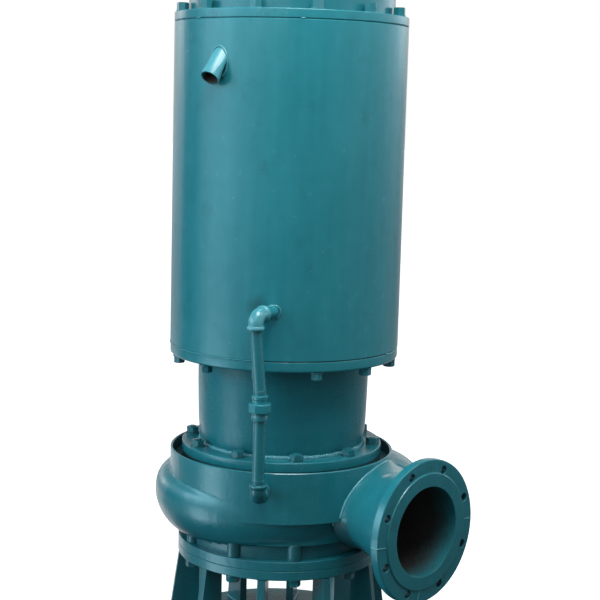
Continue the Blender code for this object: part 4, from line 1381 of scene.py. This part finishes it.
class PUMP_OT_bypass(bpy.types.Operator):
    """Screwed cooling pipe: two elbows, a union and their threads"""

    bl_idname = "pump.bypass"
    bl_label = "By-pass pipe"

    def execute(self, context):
        bypass = settings("bypass")
        upper = Vector((*UPPER_ELBOW, middle("jacket_nipple").z))
        lower = Vector((*LOWER_ELBOW, middle("casing_nipple").z))
        root = middle("jacket_nipple")
        upper_away = Vector((root.x - upper.x, root.y - upper.y, 0)).normalized()
        lower_away = Vector((-lower.x, -lower.y, 0)).normalized()
        self.build_elbow("upper_elbow", upper, upper_away, -UP, "bypass_upper_elbow")
        self.build_elbow("lower_elbow", lower, lower_away, UP, "bypass_lower_elbow")
        inset = bypass.reach - 0.004
        for name, node, centre, away, wall in (
                ("upper_stub", "jacket_nipple", upper, upper_away, settings("jacket").radius),
                ("lower_stub", "casing_nipple", lower, lower_away, settings("casing").ring_radius)):
            mixed = centre.x * away.x + centre.y * away.y
            reach = -mixed - sqrt(mixed ** 2 - (centre.x ** 2 + centre.y ** 2 - wall ** 2))
            stub = rod(centre + away * inset, centre + away * (reach + 0.002), bypass.pipe, 40)
            finish_piece(name, stub, "fitting enamel", [node])
            points = where_tube_meets_round(centre + away * reach, -away, bypass.pipe + 0.0006,
                                            wall, 56)
            bead_piece(name + "_weld", [(points, 0.0024, 41)])
        joint = middle("union_nut")
        self.build_union(joint, (high("union_nut").z - low("union_nut").z) / 2)
        top = Vector((joint.x, joint.y, high("union_upper_tail").z - 0.004))
        foot = Vector((joint.x, joint.y, low("union_lower_tail").z + 0.004))
        self.build_leg("upper_leg", upper - UP * inset, top, "bypass_upper_pipe")
        self.build_leg("lower_leg", foot, lower + UP * inset, "bypass_lower_pipe")
        return {"FINISHED"}

    def build_elbow(self, name, centre, away, side, node):
        """Malleable iron elbow: a bend with a rolled bead at each mouth."""
        bypass = settings("bypass")
        bm = bmesh.new()
        start = centre + side * bypass.bend
        ring = bmesh.ops.create_circle(bm, cap_ends=False, segments=40, radius=bypass.fitting,
                                       matrix=aligned(side, start))["verts"]
        mouth = list(bm.edges)
        swept = bmesh.ops.spin(bm, geom=ring + mouth, cent=centre + (side + away) * bypass.bend,
                               axis=away.cross(side), dvec=(0, 0, 0), angle=radians(90), steps=14,
                               use_duplicate=False)["geom_last"]
        far_mouth = [item for item in swept if isinstance(item, bmesh.types.BMEdge)]
        length = bypass.reach - bypass.bend
        bead = bypass.bead / bypass.fitting
        profile = ((0.0020, 1.00), (length - 0.0095, 1.00), (length - 0.0080, 1.06),
                   (length - 0.0065, bead), (length - 0.0015, bead), (length - 0.0003, 1.09),
                   (length, 1.04))
        for current, direction in ((mouth, side), (far_mouth, away)):
            for distance, scale in profile:
                verts, current = extruded(bm, current)
                centroid = sum((vert.co for vert in verts), Vector()) / len(verts)
                goal = centre + direction * bypass.bend + direction * distance
                for vert in verts:
                    ray = (vert.co - centroid).normalized()
                    vert.co = goal + ray * bypass.fitting * scale
            bmesh.ops.contextual_create(bm, geom=current)
        # The upper elbow takes enamel with a painted highlight, the lower one darker bolt enamel as painted
        # shade.
        paint = "elbow enamel" if side.z < 0 else "bolt enamel"
        finish_piece(name, bm, paint, [node], sharp=60)

    def build_union(self, joint, half):
        """Eight-sided nut with a round tail at each end."""
        bm = bmesh.new()
        place = Matrix.Translation(joint) @ Matrix.Rotation(radians(22.5), 4, "Z")
        made = bmesh.ops.create_cone(bm, cap_ends=True, segments=8, radius1=0.0255, radius2=0.0255,
                                     depth=2 * half, matrix=place)["verts"]
        bevel(bm, list({edge for vert in made for edge in vert.link_edges
                        if abs(edge.verts[0].co.z - edge.verts[1].co.z) < 0.001}), 0.0022, 3)
        finish_piece("union_ring", bm, "fitting enamel", ["union_nut"], even=True)
        radius = settings("bypass").union_tail
        neck = radius - 0.0012
        for name, node, sign, face in (
                ("union_top", "union_upper_tail", 1, high("union_upper_tail").z),
                ("union_foot", "union_lower_tail", -1, low("union_lower_tail").z)):
            length = abs(face - joint.z) - half
            outline = rounded([
                (0.0, 0.0, 0.0), (neck, 0.0, 0.0), (neck, length - 0.0105, 0.0015),
                (radius, length - 0.0085, 0.0015), (radius + 0.0006, length - 0.0008, 0.0012),
                (radius - 0.003, length, 0.0005), (0.0, length, 0.0)])
            base = Vector((joint.x, joint.y, joint.z + sign * half))
            finish_piece(name, spun(outline, 48, aligned(UP * sign, base)), "fitting enamel", [node],
                         even=True)

    def build_leg(self, name, start, end, node):
        """Pipe with a screw thread showing at each end."""
        radius = settings("bypass").pipe
        bm = rod(start, end, radius, 40)
        along = (end - start).normalized()
        first = along.orthogonal().normalized()
        second = along.cross(first)
        pitch = 0.0018
        a_turn = 20
        for offset, turns in ((0.004, 3.5), ((end - start).length - 0.004 - 4 * pitch - 0.004, 4.5)):
            count = int(turns * a_turn)
            points = []
            for index in range(count):
                turn = FULL_TURN * index / a_turn
                points.append(start + along * (offset + pitch * index / a_turn)
                              + (first * cos(turn) + second * sin(turn)) * radius)
            add_tube(bm, points, [0.0008 * min(1.0, min(index, count - 1 - index) / 8 + 0.1)
                                  for index in range(count)], sides_step=1)
        finish_piece(name, bm, "pipe enamel", [node], sharp=50)


# Bands of light in the hall round the pump: bearing in degrees, brightness and coolness
FLOOR_LIGHT = (
    (-180, 1, 0), (-140, 0.9, 0), (-128, 0.3, 0), (-108, 0.22, 0.3), (-93, 0.45, 1.2),
    (-79, 3.8, 1.6), (-67, 3.6, 1.6), (-53, 0.4, 0.8), (-30, 0.12, 0.4), (20, 0.06, 0.4),
    (60, 0.05, 0.8), (100, 0.12, 1), (140, 0.3, 0.6), (180, 1, 0))
LEVEL_LIGHT = (
    (-180, 0.75, 0), (-130, 0.75, 0), (-123, 0.06, 0), (-100, 0.08, 0.4), (-85, 1.5, 1.8),
    (-56, 1.4, 1.8), (-36, 0.7, 1.4), (-12, 0.16, 0.6), (30, 0.16, 0.6), (50, 0.22, 1),
    (70, 0.46, 1.6), (90, 0.46, 1.6), (112, 0.7, 1.6), (127, 0.74, 1.4), (140, 0.45, 1),
    (180, 0.8, 0))
WINDOW_LIGHT = (
    (-180, 0.9, 0), (-150, 1, 0), (-134, 3, 0), (-124, 0.3, 0), (-102, 0.45, 0.8),
    (-88, 3.2, 2.2), (-62, 3.2, 2.2), (-46, 1.1, 1.6), (-20, 0.18, 0.4), (30, 0.16, 0.4),
    (56, 0.7, 1), (90, 1.1, 1.5), (118, 2.4, 1.5), (138, 3, 1), (155, 1, 0), (180, 0.9, 0))
UPPER_LIGHT = (
    (-180, 0.3, 0), (-130, 0.3, 0), (-116, 0.7, 0.6), (-102, 1.6, 1.8), (-90, 5, 2.2),
    (-62, 5, 2.2), (-46, 1.4, 1.6), (-24, 0.2, 0.4), (40, 0.16, 0.4), (70, 0.6, 1),
    (110, 0.8, 1.2), (140, 0.4, 0.6), (180, 0.35, 0))


class PUMP_OT_stage(bpy.types.Operator):
    """Camera, pale floor and soft light"""

    bl_idname = "pump.stage"
    bl_label = "Stage"

    def execute(self, context):
        stage = settings("stage")
        self.place_camera(context.scene, stage)
        bm = bmesh.new()
        bmesh.ops.create_grid(bm, x_segments=1, y_segments=1, size=30.0)
        floor = placed("floor", bm)
        floor.data.materials.append(finish_named("pale floor"))
        floor.visible_glossy = False
        floor.visible_diffuse = False
        self.light_world(context.scene)
        self.hang_lights(stage)
        context.scene.view_settings.view_transform = "Standard"
        return {"FINISHED"}

    def place_camera(self, scene, stage):
        yaw, pitch, roll = stage.yaw, stage.pitch, stage.roll
        turn = Matrix.Rotation(stage.azimuth, 3, "Z")
        forward = turn @ Vector((sin(yaw) * cos(pitch), cos(yaw) * cos(pitch), -sin(pitch)))
        right = turn @ Vector((cos(yaw), -sin(yaw), 0))
        upward = right.cross(forward)
        rolled_right = cos(roll) * right + sin(roll) * upward
        rolled_up = -sin(roll) * right + cos(roll) * upward
        data = bpy.data.cameras.new("camera")
        data.lens = stage.lens
        camera = bpy.data.objects.new("camera", data)
        matrix = Matrix((rolled_right, rolled_up, -forward)).transposed().to_4x4()
        matrix.translation = turn @ Vector((0, -stage.distance, stage.height)) + AXIS
        camera.matrix_world = matrix
        scene.collection.objects.link(camera)
        scene.camera = camera

    def light_world(self, scene):
        """White hall behind the pump. What lights it is four bands, from the floor up, with a
        bright window to each side and a dark stretch in front."""
        scene.world = bpy.data.worlds.new("hall")
        nodes = NodeMaker(scene.world, "Background", 0)
        hall = nodes.add("ShaderNodeMapping", None,
                         {"Vector": nodes.place, "Rotation": (0, 0, radians(45))})
        height = nodes.along(2, hall)
        bearing = nodes.add("ShaderNodeMath", {"operation": "ARCTAN2"},
                            {0: nodes.along(1, hall), 1: nodes.along(0, hall)})
        around = bearing / FULL_TURN + 0.5
        bands = []
        for band in (FLOOR_LIGHT, LEVEL_LIGHT, WINDOW_LIGHT, UPPER_LIGHT):
            stops = [((angle + 180) / 360, (light * (1 - 0.22 * cool), light * (1 - 0.07 * cool), light))
                     for angle, light, cool in band]
            bands.append(nodes.add("ShaderNodeValToRGB", {"stops": stops}, {0: around}))
        floor, level, window, upper = bands
        level = nodes.add("ShaderNodeVectorMath", {"operation": "SCALE"},
                          {0: level, 3: nodes.ramp(height, -0.12, -0.02, 0.62, 1.0)})
        lit = (0.03, 0.04, 0.04)
        for start, end, band in (
                (-0.64, -0.46, floor), (-0.24, -0.16, level), (0.005, 0.075, window),
                (0.14, 0.26, upper), (0.38, 0.60, (0.15, 0.19, 0.21))):
            lit = nodes.mix(nodes.ramp(height, start, end), lit, band)
        seen = nodes.add("ShaderNodeLightPath", output=0)
        nodes.feed(nodes.shader, {"Color": nodes.mix(seen, lit, (1.0, 1.0, 1.0)), "Strength": 1.0})

    def hang_lights(self, stage):
        toward_camera = stage.azimuth - radians(90)
        for name, bearing, distance, height, width, tall, power, colour, aimed_at in (
                ("overhead_light", -12, 0.9, 3.4, 1.3, 1.3, stage.overhead, (0.92, 0.98, 1.0), 0.9),
                ("front_light", 20, 1.0, 2.6, 1.0, 1.0, stage.front, (0.92, 0.98, 1.0), 1.2),
                ("front_left_light", -20, 2.2, 2.3, 1.6, 1.6, stage.front_left, (0.90, 0.97, 1.0), 1.2),
                ("right_light", 72, 1.9, 2.6, 1.2, 1.0, stage.right, (0.76, 0.90, 1.0), 1.2)):
            data = bpy.data.lights.new(name, "AREA")
            data.shape = "RECTANGLE"
            data.size = width
            data.size_y = tall
            data.energy = power
            data.color = colour
            lamp = bpy.data.objects.new(name, data)
            spot = polar(distance, toward_camera + radians(bearing), height) + AXIS
            aim = Vector((AXIS.x, AXIS.y, aimed_at)) - spot
            lamp.matrix_world = Matrix.Translation(spot) @ aim.to_track_quat("-Z", "Y").to_matrix().to_4x4()
            bpy.context.scene.collection.objects.link(lamp)


class PUMP_PT_panel(bpy.types.Panel):
    """Lists the pump's pieces in the sidebar"""

    bl_label = "Sand pump"
    bl_idname = "PUMP_PT_panel"
    bl_space_type = "VIEW_3D"
    bl_region_type = "UI"
    bl_category = "Pump"

    def draw(self, context):
        for operator in OPERATORS:
            self.layout.operator(operator.bl_idname)
        for group in GROUPS:
            box = self.layout.box()
            box.label(text=group.__doc__)
            for key in group.__annotations__:
                box.prop(settings(GROUPS[group]), key)


GROUPS = {
    PUMP_PG_paint: "paint", PUMP_PG_jacket: "jacket", PUMP_PG_bolting: "bolting",
    PUMP_PG_casing: "casing", PUMP_PG_discharge: "discharge", PUMP_PG_bypass: "bypass",
    PUMP_PG_stage: "stage"}
OPERATORS = (
    PUMP_OT_stage, PUMP_OT_jacket, PUMP_OT_outlet, PUMP_OT_motor_top, PUMP_OT_neck, PUMP_OT_casing,
    PUMP_OT_discharge, PUMP_OT_stand, PUMP_OT_rotor, PUMP_OT_bypass)
CLASSES = (*GROUPS, *OPERATORS, PUMP_PT_panel)


def register():
    for item in CLASSES:
        bpy.utils.register_class(item)
    for group, name in GROUPS.items():
        setattr(bpy.types.Scene, "pump_" + name, PointerProperty(type=group))


def unregister():
    for name in GROUPS.values():
        delattr(bpy.types.Scene, "pump_" + name)
    for item in reversed(CLASSES):
        bpy.utils.unregister_class(item)


def main():
    register()
    for operator in OPERATORS:
        group, name = operator.bl_idname.split(".")
        getattr(getattr(bpy.ops, group), name)()


if __name__ == "__main__":
    main()
